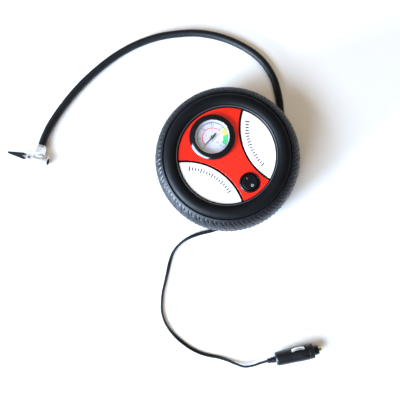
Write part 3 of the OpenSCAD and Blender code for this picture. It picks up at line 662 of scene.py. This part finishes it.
def make_hose():
    path = smooth_path(HOSE_ROUTE, 0.7)
    sides = 40
    around = np.linspace(0, 2 * math.pi, sides, endpoint=False)
    strands = 10
    lay = 9.0          # length in which the braid under the rubber goes once round

    def section(distance):
        swirl = 2 * math.pi * distance / lay
        over = np.cos(strands * around + swirl * 2) * np.cos(strands * around - swirl * 2)
        radius = HOSE_D / 2 - 0.10 + 0.10 * over
        return np.stack([radius * np.cos(around), radius * np.sin(around)], axis=1)

    mesh = swept("hose", path, section)
    hose = piece("hose", mesh, "hose_rubber", replaces=("air_hose",), smooth=80)
    return hose, path


camera_and_stage()
cord, cord_path = make_cord()
hose, hose_path = make_hose()


# ---- tyre-shaped housing ----

SPLIT_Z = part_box("front_shell")[0].z / MM
FACE_R = TYRE_R - 27.3
SHOULDER_R = 13.5                # how far the tread's rounded shoulders reach inwards
UPPER_Z, LOWER_Z = 38, 22        # heights at which they start
SKIN = 2.5                       # thickness of the tyre's wall
HOOKS = 48
COLUMNS = 16 * HOOKS


def groove(around, across, strokes, period, width, depth, wall=0.5):
    """How deep the tread is cut at points given along and across the tread, in mm."""
    nearest = np.full(around.shape, 1e9)
    for stroke in strokes:
        for (ax, ay), (bx, by) in zip(stroke, stroke[1:]):
            for shift in (-period, 0, period):
                px, py = around - ax - shift, across - ay
                dx, dy = bx - ax, by - ay
                t = np.clip((px * dx + py * dy) / (dx * dx + dy * dy), 0, 1)
                nearest = np.minimum(nearest, np.hypot(px - t * dx, py - t * dy))
    t = np.clip((width / 2 + wall - nearest) / wall, 0, 1)
    return depth * t * t * (3 - 2 * t)


def tread(first, last, mirror):
    """A change for spun() that cuts the tread into the rows from first to last."""
    period = 2 * math.pi * TYRE_R / HOOKS
    hooks = [[(2.4, 2.6), (3.0, 5.4), (5.4, 8.2), (5.8, 11.6), (8.4, 15.0), (8.6, 18.0)],
             [(7.2, 3.4), (8.6, 6.6)]]
    blocks = [[(8.6, 18.0), (6.2, 21.0), (8.6, 25.5), (7.4, 29.0)], [(1.8, 16.2), (3.0, 20.5)],
              [(1.2, 23.5), (3.6, 27.0)]]
    band = [[(0.0, 20.5), (period / 2, 22.3), (period, 20.5)]]
    cuts = ((hooks, 0.9, 0.65), (blocks, 0.9, 0.5), (band, 0.7, 0.45))    # strokes, width, depth

    def change(angles, profile, points):
        step = np.gradient(profile, axis=0)
        inward = np.stack([-step[:, 1], step[:, 0]], axis=1)
        inward /= np.linalg.norm(inward, axis=1)[:, None] + 1e-9
        if mirror:
            inward *= -1
        reach = distances(profile)
        rows = slice(first, last + 1)
        across = reach[rows] - reach[first]
        if not mirror:
            across = across[-1] - across
        around = (angles * TYRE_R) % period
        around, across = np.meshgrid(around, across)
        cut = np.max([groove(around, across, strokes, period, width, depth)
                      for strokes, width, depth in cuts], axis=0)
        radial = inward[rows, 0:1] * cut
        points[rows, :, 0] += radial * np.cos(angles)
        points[rows, :, 1] += radial * np.sin(angles)
        points[rows, :, 2] += inward[rows, 1:2] * cut
    return change


def seam(sign):
    """The edge of a shell at the split, where a fine groove runs round the tyre."""
    return [(TYRE_R - 0.7, SPLIT_Z), (TYRE_R - 0.6, SPLIT_Z + sign * 0.25),
            (TYRE_R, SPLIT_Z + sign * 0.5)]


def make_front_half():
    shoulder = (TYRE_R - SHOULDER_R, UPPER_Z)
    edge = seam(1)
    wall = [(TYRE_R, z) for z in np.linspace(SPLIT_Z + 0.9, UPPER_Z - 0.5, 13)]
    curve = ellipse(shoulder, SHOULDER_R, 18.9, 0, 74, 44)
    line = rounded([curve[-1], (TYRE_R - 10.2, 55.2), (TYRE_R - 10.8, 54.9),
                    (TYRE_R - 11.4, 55.3), (TYRE_R - 11.7, 56.38)], 0.35, 3, closed=False)
    crest_r = TYRE_R - 19
    crest = ellipse((crest_r, 55), 7.6, 5, 16, 140, 19)
    bead = [(FACE_R + 2.5, 57.9), (FACE_R + 2.2, 57.3), (FACE_R + 1.9, 57.15),
            *ellipse((FACE_R + 1.15, 57.0), 0.65, 0.75, 20, 180, 8), (FACE_R + 0.45, 56.6)]
    inside = [(FACE_R, 56.3), (FACE_R, 52.0), (FACE_R + SKIN, 52.0), (FACE_R + SKIN, 53.6)]
    lining = ellipse((crest_r, 52.5), 5.3, 5, 148, 16, 5)
    lining += ellipse(shoulder, SHOULDER_R - SKIN, 18.9 - SKIN, 70, 0, 4)
    lining += [(TYRE_R - SKIN, SPLIT_Z)]
    profile = edge + wall + curve + line[1:] + crest + bead + inside + lining
    last = len(edge) + len(wall) + len(curve) - 1
    mesh = spun("tyre_front", profile, COLUMNS, change=tread(len(edge), last, False))
    tyre = piece("tyre_front", mesh, "tread",
                 replaces=("front_shell",), smooth=50)
    use_finish(tyre, "black_shell", lambda r, z: r < TYRE_R - 10.35)
    # the bead's crest takes the paler grey, a painted highlight line round the face
    use_finish(tyre, "bead_grey", lambda r, z: FACE_R + 0.5 < r < FACE_R + 1.8 and z > 57)


def make_rear_half():
    shoulder = (TYRE_R - SHOULDER_R, LOWER_Z)
    edge = seam(-1)
    wall = [(TYRE_R, z) for z in np.linspace(SPLIT_Z - 0.9, LOWER_Z + 0.5, 11)]
    curve = ellipse(shoulder, SHOULDER_R, 28.3, 0, -51, 42)
    channel_in, channel_out, channel_top = 49.5, 72.5, 17
    foot = rounded([curve[-1], (TYRE_R - 5, 0), (channel_out, 0), (channel_out, channel_top),
                    (channel_in, channel_top), (channel_in, 0.6), (47, 0.6), (47, 19.5),
                    (74.7, 19.5), (74.7, 2.5)], [0, 0.3, 0.8, 1.2, 1.2, 0.6, 0.4, 0, 0, 0])
    lining = ellipse(shoulder, SHOULDER_R - SKIN, 25.4, -50.2, 0, 6)
    lining += [(TYRE_R - SKIN, SPLIT_Z)]
    last = len(edge) + len(wall) + len(curve) - 1
    mesh = spun("tyre_rear", edge + wall + curve + foot[1:] + lining, COLUMNS,
                change=tread(len(edge), last, True))
    tyre = piece("tyre_rear", mesh, "tread",
                 replaces=("rear_shell",), smooth=50)
    # the hose and the cord leave through arched notches in the foot
    hose_way = Matrix.Translation((74, -14, 0)) @ turned(52) @ Matrix.Translation((-28, 0, 0))
    cord_way = Matrix.Translation((-52, -55.5, 0)) @ turned(158) @ Matrix.Translation((-30, 0, 0))
    cut_away(tyre, [arch("hose_way", 13, 14.5, 60, hose_way),
                    arch("cord_way", 8, 9, 64, cord_way)])
    use_finish(tyre, "black_shell", lambda r, z: r < channel_out + 0.5 or z < 0.5)


def use_finish(obj, name, holds):
    """Gives the faces whose middle radius and height hold another finish."""
    mesh = obj.data
    mesh.materials.append(FINISHES[name])
    centres = np.empty(len(mesh.polygons) * 3)
    mesh.polygons.foreach_get("center", centres)
    chosen = np.empty(len(mesh.polygons), int)
    mesh.polygons.foreach_get("material_index", chosen)
    for i, (x, y, z) in enumerate(centres.reshape(-1, 3) / MM):
        if holds(math.hypot(x, y), z):
            chosen[i] = len(mesh.materials) - 1
    mesh.polygons.foreach_set("material_index", chosen)


make_front_half()
make_rear_half()


# ---- face ----

DECK_Z = 52.5                    # the panels lie on the deck
GAUGE_HOLE_R = 22.3
SWITCH_HOLE_R = 10.2
PANEL_GAP = 2.4
LENS_CENTRE = (82, -27.6)        # centre of the arc that bounds the right white panel
LENS_R = 65.8
RIM_R = FACE_R - 0.8             # outer edge of the white panels


def lens_ends(rim, radius):
    """Angles at which a lens circle of that radius meets the rim circle on the right side, two
    as seen from the face's centre and two from the lens circle's."""
    far = math.hypot(*LENS_CENTRE)
    towards = math.degrees(math.atan2(LENS_CENTRE[1], LENS_CENTRE[0]))
    half = math.degrees(math.acos((rim ** 2 + far ** 2 - radius ** 2) / (2 * rim * far)))
    ends = [towards - half, towards + half]
    for t in np.radians(ends):
        x, y = rim * math.cos(t) - LENS_CENTRE[0], rim * math.sin(t) - LENS_CENTRE[1]
        ends.append(math.degrees(math.atan2(y, x)) % 360)
    return ends


def soften(outline, radius):
    """Rounds only the true corners of a finely stepped outline."""
    points = [np.asarray(p, float) for p in outline]
    kept = [p for i, p in enumerate(points) if np.linalg.norm(p - points[i - 1]) > 1e-6]
    sizes = []
    for i, p in enumerate(kept):
        a, b = p - kept[i - 1], kept[(i + 1) % len(kept)] - p
        bend = math.degrees(math.acos(np.clip(
            a @ b / np.linalg.norm(a) / np.linalg.norm(b), -1, 1)))
        sizes.append(radius if bend > 25 else 0)
    return rounded(kept, sizes)


def face_holes():
    return [hole(GAUGE.xy, GAUGE_HOLE_R, 96), hole(SWITCH.xy, SWITCH_HOLE_R, 64)]


def make_deck():
    outlines = [disc((0, 0), FACE_R + 1.2, 180), *face_holes()]
    piece("face_deck", plate("face_deck", outlines, DECK_Z - SKIN, DECK_Z, 0.1, 1),
          "black_shell")


def make_red_panel():
    rim = FACE_R - 0.6
    radius = LENS_R + PANEL_GAP
    low, high, lens_low, lens_high = lens_ends(rim, radius)
    right = arc(LENS_CENTRE, radius, lens_low, lens_high)
    left = [(-x, y) for x, y in reversed(right)]
    outline = arc((0, 0), rim, high, 180 - high) + left + arc((0, 0), rim, 180 - low, 360 + low)
    outline += right
    red = plate("red_panel", [soften(outline, 0.5), *face_holes()], DECK_Z, FACE_TOP, 0.35)
    even_shading(piece("red_face", red, "red_plastic", replaces=("red_panel",)))


def panel_marks(name):
    """A plain scale of raised marks along the inner edge of the right white panel."""
    marks = []
    count = 17
    start, sweep = 134, 51
    reach = LENS_R - 7
    for i in range(count):
        angle = start + sweep * i / (count - 1)
        tall = 5.0 if i % 4 == 0 else 3.4
        mark = plate("mark", [bar(tall / 2, 0.6, 0.25)], FACE_TOP + 0.17, FACE_TOP + 0.24,
                     0.03, 1)
        spot = Vector((*LENS_CENTRE, 0)) + Vector((*polar(reach, angle), 0))
        mark.transform(Matrix.Translation(spot) @ turned(angle))
        marks.append(mark)
    return joined(name, marks)


def make_white_panels():
    low, high, lens_low, lens_high = lens_ends(RIM_R, LENS_R)
    outline = arc((0, 0), RIM_R, low, high) + arc(LENS_CENTRE, LENS_R, lens_high, lens_low)
    for name, sign in (("left", -1), ("right", 1)):
        mesh = plate(f"{name}_lens", [soften(outline, 0.6)], DECK_Z, FACE_TOP + 0.2, 0.4)
        mesh.transform(Matrix.Diagonal((sign, 1, 1, 1)))
        even_shading(piece(f"{name}_lens", mesh, "white_plastic", replaces=(f"{name}_panel",)))
        mesh = panel_marks(f"{name}_marks")
        mesh.transform(Matrix.Diagonal((sign, 1, 1, 1)))
        piece(f"{name}_marks", mesh, "dark")


make_deck()
make_red_panel()
make_white_panels()


# ---- gauge ----

DIAL_UP = 54.0               # direction in which the dial's numbers stand
SCALE_START = 189.0          # direction of zero
SCALE_SWEEP = 270.0
DIAL_Z = 55.0                # the dial's printed side
ON_GAUGE = Matrix.Translation((GAUGE.x, GAUGE.y, 0))


def ring_part(inner, outer, start, stop, low, high, steps=60):
    outline = arc((0, 0), outer, start, stop, steps) + arc((0, 0), inner, stop, start, steps)
    return plate("arc", [outline], low, high, 0.01, 1)


def tick(angle, inner, outer, width, low, high):
    mesh = plate("tick", [[(inner, -width / 2), (outer, -width / 2), (outer, width / 2),
                           (inner, width / 2)]], low, high, 0.01, 1)
    mesh.transform(turned(angle))
    return mesh


def number(text, size, angle, reach, low):
    """A raised number on the dial, upright in the dial's own direction."""
    curve = bpy.data.curves.new("number", "FONT")
    curve.body = text
    curve.size = size
    curve.align_x = "CENTER"
    curve.align_y = "CENTER"
    curve.extrude = half = 0.012
    curve.offset = 0.07        # makes the strokes bolder
    mesh = mesh_of_curve(curve)
    mesh.transform(Matrix.Translation((*polar(reach, angle), low + half))
                   @ turned(DIAL_UP - 90))
    return mesh


def make_bezel_and_glass():
    bezel = rounded(
        [(22.2, 55.02), (25.3, 55.02), (25.3, 60.1), (23.1, 61.35), (20.4, 62.35), (19.2, 62.3),
         (18.8, 61.8), (18.8, 61.2), (20.2, 61.2), (20.2, 59.5), (22.2, 59.5)],
        [0, 0.2, 0.35, 0.7, 0.8, 0.4, 0.2, 0, 0, 0, 0], 5)
    mesh = spun("gauge_ring", bezel, 160)
    piece("gauge_ring", mesh, "bezel_black", place=ON_GAUGE,
          replaces=("gauge_bezel",), smooth=32)

    dome_r, dome_z = 18.7, 60.6
    glass = [(0, 59.62), (19.9, 59.62), (20.0, 59.72), (20.0, 60.5), (dome_r, dome_z)]
    for r in (17, 14, 10, 5, 0):
        glass.append((r, dome_z + 0.5 * math.cos(r / dome_r * math.pi / 2)))
    mesh = spun("gauge_glass", glass, 96, closed=False)
    lens = piece("gauge_glass", mesh, "clear_lens", place=ON_GAUGE, replaces=("gauge_lens",),
                 smooth=40)
    lens.visible_shadow = False


def make_dial():
    back, edge = DIAL_Z - 0.6, DIAL_Z - 0.05
    dial = spun("dial_plate", [(1.3, back), (20.6, back), (20.6, edge), (20.55, DIAL_Z),
                               (1.35, DIAL_Z), (1.3, edge)], 96)
    piece("dial_plate", dial, "dial_white", place=ON_GAUGE,
          replaces=("gauge_dial",))
    sleeve = spun("dial_wall", [(20.5, DIAL_Z), (20.55, 59.5), (20.1, 59.5),
                                (19.6, DIAL_Z + 0.9), (19.3, DIAL_Z)], 96)
    piece("dial_wall", sleeve, "dial_white", place=ON_GAUGE)


def make_dial_print():
    low, high = DIAL_Z - 0.02, DIAL_Z + 0.03

    def at(share):
        return SCALE_START - SCALE_SWEEP * share

    def ticks(gaps, inner, inner_short, outer, width_short):
        """A scale whose every fifth tick is longer and wider."""
        return [tick(at(i / gaps), inner_short if i % 5 else inner, outer,
                     width_short if i % 5 else 0.7, low, high) for i in range(gaps + 1)]

    black = [ring_part(16.6, 17.1, at(1), SCALE_START, low, high, 120),
             ring_part(17.0, 17.4, at(1) + 60, SCALE_START - 88, low, high, 60),
             *ticks(30, 14.9, 15.7, 16.8, 0.46),
             ring_part(3.0, 3.25, SCALE_START + 30, SCALE_START + 330, low, high)]
    red = [ring_part(10.6, 11.5, at(0.70), SCALE_START, low, high, 90),
           *ticks(20, 9.4, 10.1, 11, 0.45)]
    cyan = [number(str(50 * i), 3.0, at(i / 6), 13.4, high) for i in range(7)]
    red += [number(str(5 * i), 2.4, at(i / 4), 7.4, high) for i in range(5)]
    patch_low, patch_high = high - 0.01, high + 0.03
    yellow = [ring_part(12.0, 16.6, at(0.70), at(0.80), patch_low, patch_high)]
    green = [ring_part(12.0, 17.4, at(0.80), at(0.955), patch_low, patch_high)]
    for name, parts, ink in (("dial_scale", black, "black"), ("dial_inner_scale", red, "red"),
                             ("dial_numbers", cyan, "cyan"), ("dial_yellow", yellow, "yellow"),
                             ("dial_green", green, "green")):
        piece(name, joined(name, parts), ink, place=ON_GAUGE)


def make_needle():
    arm = rounded([(12.8, -0.25), (12.8, 0.25), (1.9, 0.85), (1.0, 1.5), (-1.4, 1.45),
                   (-2.2, 0.9), (-5.8, 1.0), (-5.8, -1.0), (-2.2, -0.9), (-1.4, -1.45),
                   (1.0, -1.5), (1.9, -0.85)], 0.3, 3)
    blade = plate("blade", [arm], 57.2, 57.6, 0.08, 2)
    blade.transform(turned(SCALE_START))
    hub = spun("hub", rounded([(0, 56.9), (1.7, 56.9), (1.7, 57.9), (0, 58.1)],
                              [0, 0.1, 0.25, 0]), 32)
    spindle = spun("spindle", [(0, 46), (0.6, 46), (0.6, 57.2), (0, 57.2)], 24)
    piece("needle", joined("needle", [blade, hub, spindle]), "pointer_black",
          body="pointer", place=ON_GAUGE, replaces=("gauge_pointer",),
          smooth=30)


make_bezel_and_glass()
make_dial()
make_dial_print()
make_needle()


# ---- switch ----

def make_switch():
    place = Matrix.Translation((SWITCH.x, SWITCH.y, 0))
    flange = rounded([(9.35, 39), (10, 39), (10, 55), (11.5, 55), (11.5, 55.5), (10.3, 56.9),
                      (9.8, 57.1), (9.35, 56.3)], [0, 0, 0, 0.1, 0.25, 0.5, 0.3, 0.3])
    piece("switch_frame", spun("switch_frame", flange, 96), "switch_black", place=place,
          replaces=("switch_body",), smooth=30)

    tip = math.radians(16)
    hinge, flat = 54.0, 3.4        # the cap's level half lies this far above the hinge
    rings, columns = 40, 72
    cap_r, ball_r, skirt_r = 8.55, 8.95, 8.7
    turns = [2 * math.pi * k / columns for k in range(columns)]
    points = []
    for i in range(1, rings + 1):
        r = cap_r * i / rings
        inside_ball = math.sqrt(ball_r ** 2 - r * r)
        for t in turns:
            y = r * math.sin(t)
            share = min(1.0, max(0.0, (y + 0.8) / 1.6))
            z = flat + y * math.tan(tip) * share * share * (3 - 2 * share)
            if i == rings:
                z -= 0.25
            points.append((r * math.cos(t), y, hinge + min(z, inside_ball)))
    points += [(skirt_r * math.cos(t), skirt_r * math.sin(t), hinge - 2.0) for t in turns]
    points.append((0, 0, hinge + flat + 0.02))
    faces = grid_faces(rings + 1, columns, False, True)
    faces += [(len(points) - 1, (k + 1) % columns, k) for k in range(columns)]
    faces.append(list(range(rings * columns, (rings + 1) * columns)))
    piece("rocker_cap", mesh_of("rocker_cap", points, faces), "switch_black",
          body="rocker", place=place, replaces=("switch_rocker",), smooth=28)

    off_at, on_at = (0, -4.4), 5.0
    under, over = -0.02, 0.04      # the marks' heights on the cap
    circle = plate("mark_off", [disc(off_at, 1.4, 40), hole(off_at, 0.95, 40)],
                   hinge + flat + under, hinge + flat + over, 0.02, 1)
    line = plate("mark_on", [bar(0.17, 1.1, 0.1)], under, over, 0.02, 1)
    line.transform(Matrix.Translation((0, on_at, hinge + flat + on_at * math.tan(tip)))
                   @ Matrix.Rotation(tip, 4, "X"))
    piece("rocker_marks", joined("rocker_marks", [circle, line]), "white",
          body="rocker", place=place)


make_switch()


# ---- 12 V plug ----

ON_PLUG = PLUG_PLACE @ AXIS_X


def make_plug_shell():
    body = rounded([(3.4, 0), (6.6, 0), (7.7, 1.6), (8.6, 30), (8.6, 38), (3.4, 38), (3.4, 9)],
                   [0, 0.4, 0.5, 1, 0.5, 0, 0], 4)
    mesh = spun("plug_shell", body, 96)
    shell = piece("plug_shell", mesh, "plug_black", place=ON_PLUG,
                  replaces=("plug_body",), smooth=32)
    slots = []
    for sign in (-1, 1):
        box = bmesh.new()
        bmesh.ops.create_cube(box, size=1)
        mesh = bpy.data.meshes.new("slot")
        box.to_mesh(mesh)
        box.free()
        mesh.transform(Matrix.Scale(MM, 4) @ PLUG_PLACE
                       @ Matrix.Translation((26.5, sign * 8, 0)) @ Matrix.Diagonal((17, 6, 4.4, 1)))
        slots.append(mesh)
    cut_away(shell, slots)


def make_plug_cap():
    ribs_around, rib_depth = 36, 0.028

    def knurl(angles, profile, points):
        rows = (profile[:, 1] > 39) & (profile[:, 1] < 43.2) & (profile[:, 0] > 7)
        ribs = 1 + rib_depth * (np.abs(np.sin(angles * ribs_around / 2)) - 1)
        points[rows, :, 0] *= ribs
        points[rows, :, 1] *= ribs

    nose = [(3.2, 38.1), (7.9, 38.1), (8.0, 38.5), (8.25, 39.0), (8.3, 39.3), (8.3, 42.6),
            (8.2, 43.1), (7.6, 43.6), (6.0, 43.9), (5.5, 44.3), (5.4, 44.9), (5.1, 48.4),
            (4.8, 49.1), (4.1, 49.5), (2.3, 49.5), (2.2, 49.2), (2.2, 44), (3.2, 43)]
    piece("plug_cap", spun("plug_cap", nose, 144, change=knurl), "plug_black", place=ON_PLUG,
          replaces=("plug_nose",), smooth=34)


def make_plug_boot():
    boot = [(0, -9.95), (2.3, -9.95), (2.5, -9.6)]
    for k in range(4):
        x = -8.8 + 2.1 * k
        r = 2.5 + 0.22 * k
        boot += [(r, x), (r + 0.72, x + 0.2), (r + 0.84, x + 0.5), (r + 0.76, x + 0.9),
                 (r + 0.12, x + 1.1), (r + 0.1, x + 1.9)]
    boot += [(3.4, -0.02), (0, -0.02)]
    piece("plug_boot", spun("plug_boot", boot, 64), "cord_black", place=ON_PLUG,
          replaces=("cord_boot",), smooth=40)


def make_pin_spring():
    """A helix of round wire, for the spring that shortens as the plug's tip is pressed in."""
    turns, reach, wire = 5, 2.5, 0.3
    start, stop, travel = 35.2, 44.1, 2.5
    rows, sides = 32 * turns + 1, 10
    points = []
    for share in np.linspace(0, 1, rows):
        t = 2 * math.pi * turns * share
        outward = Vector((0, math.cos(t), math.sin(t)))
        centre = Vector((start + wire + (stop - start - 2 * wire) * share, 0, 0))
        for u in np.arange(sides) * 2 * math.pi / sides:
            points.append(centre + (reach + wire * math.cos(u)) * outward
                          + Vector((wire * math.sin(u), 0, 0)))
    mesh = mesh_of("pin_spring", points, tube_faces(rows, sides))
    spring = piece("pin_spring", mesh, slot_of["tip_spring"], place=PLUG_PLACE,
                   replaces=("tip_spring",))
    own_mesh(spring)


make_plug_shell()
make_plug_cap()
make_plug_boot()
make_pin_spring()


# ---- chuck ----

def make_chuck():
    bore = rounded([(2.6, -8), (5.75, -8), (5.75, 3.3), (6.4, 3.5), (6.75, 3.9), (6.75, 4.9),
                    (6.35, 5.2), (6.75, 5.5), (6.75, 6.4), (6.35, 6.7), (6.75, 7.0),
                    (6.75, 7.9), (6.35, 8.2), (6.75, 8.5), (6.75, 9.5), (6.2, 10), (4.2, 10),
                    (4.2, 9), (5, 9), (5, 3.5), (2.6, 3.5)],
                   [0.2, 0.5, 0, *[0.1] * 11, 0.3, 0.2, 0.2, 0, 0, 0, 0], 3)
    body = spun("body", bore, 96)
    body.transform(AXIS_X)
    neck = spun("neck", rounded([(0, 4.6), (4.5, 4.6), (4.5, 9.6), (1.6, 9.6), (1.6, 8.6),
                                 (0, 8.6)], [0, 0, 0.3, 0.2, 0, 0]), 64)
    neck.transform(Matrix.Translation((-3, 0, 0)) @ AXIS_Y)
    lug_r = 3.3
    pin = (-LEVER_SET, 0)
    outline = arc(pin, lug_r, 90, 270, 32) + [(-6.6, -lug_r), (-6.6, lug_r)]
    lugs = [plate("lug", [outline, hole(pin, 1.22, 32)], low, low + 2, 0.2, 2)
            for low in (-4.6, 2.6)]
    chuck = piece("chuck_shell", joined("chuck_shell", [body, neck, *lugs]), "chrome",
                  place=CHUCK_PLACE, replaces=("chuck_body",), smooth=32)
    even_shading(chuck)


def make_lever_handle():
    grip = rounded([(-8.2, -3.9), (-5.4, -3.1), (-5.9, -1.1), (-10.5, 0), (-5.9, 1.1),
                    (-5.4, 3.1), (-8.2, 3.9), (-27, 1.5), (-28, 0.9), (-28, -0.9), (-27, -1.5)],
                   [0.8, 0.4, 0.3, 0.5, 0.3, 0.4, 0.8, 1, 0.4, 0.4, 1], 3)
    parts = [plate("lever_handle", [grip], -2.9, 2.9, 0.5)]
    for k in range(5):
        rib = bar(0.5, 2.5 - 0.23 * k, 0.3, x=-13.5 - 2.6 * k)
        parts.append(plate("rib", [rib], 2.6, 2.95, 0.15, 1))
    handle = piece("lever_handle", joined("lever_handle", parts), "plug_black",
                   body="lever", place=Matrix.Translation(LEVER_PIN) @ CHUCK_TURN,
                   replaces=("lever_grip",), smooth=32)
    even_shading(handle)


make_chuck()
make_lever_handle()


# ---- CAD nodes that keep their own shape ----

# widths of their rounded edges
SOFT_EDGE = {"chuck_lever": 0.25, "hose_ferrule": 0.35, "hub_cover": 0.3,
             "lever_pin": 0.15, "cord_gland": 0.3, "plug_tip": 0.2, "plug_contact_a": 0.12,
             "plug_contact_b": 0.12, "outlet_elbow": 0.3, "chuck_seal": 0.2,
             "chuck_plunger": 0.15}
replaced = {name for name, obj in nodes.items() if obj.hide_render}
for name, obj in nodes.items():
    obj.data.materials.clear()
    obj.data.materials.append(FINISHES[slot_of[name]])
    if name in SOFT_EDGE and name not in replaced:
        weld = obj.modifiers.new("weld", "WELD")
        weld.merge_threshold = 0.01 * MM
        edge = obj.modifiers.new("edge", "BEVEL")
        edge.width = SOFT_EDGE[name] * MM
        edge.segments = 2
        edge.limit_method = "ANGLE"
        edge.angle_limit = math.radians(32)
        edge.harden_normals = True
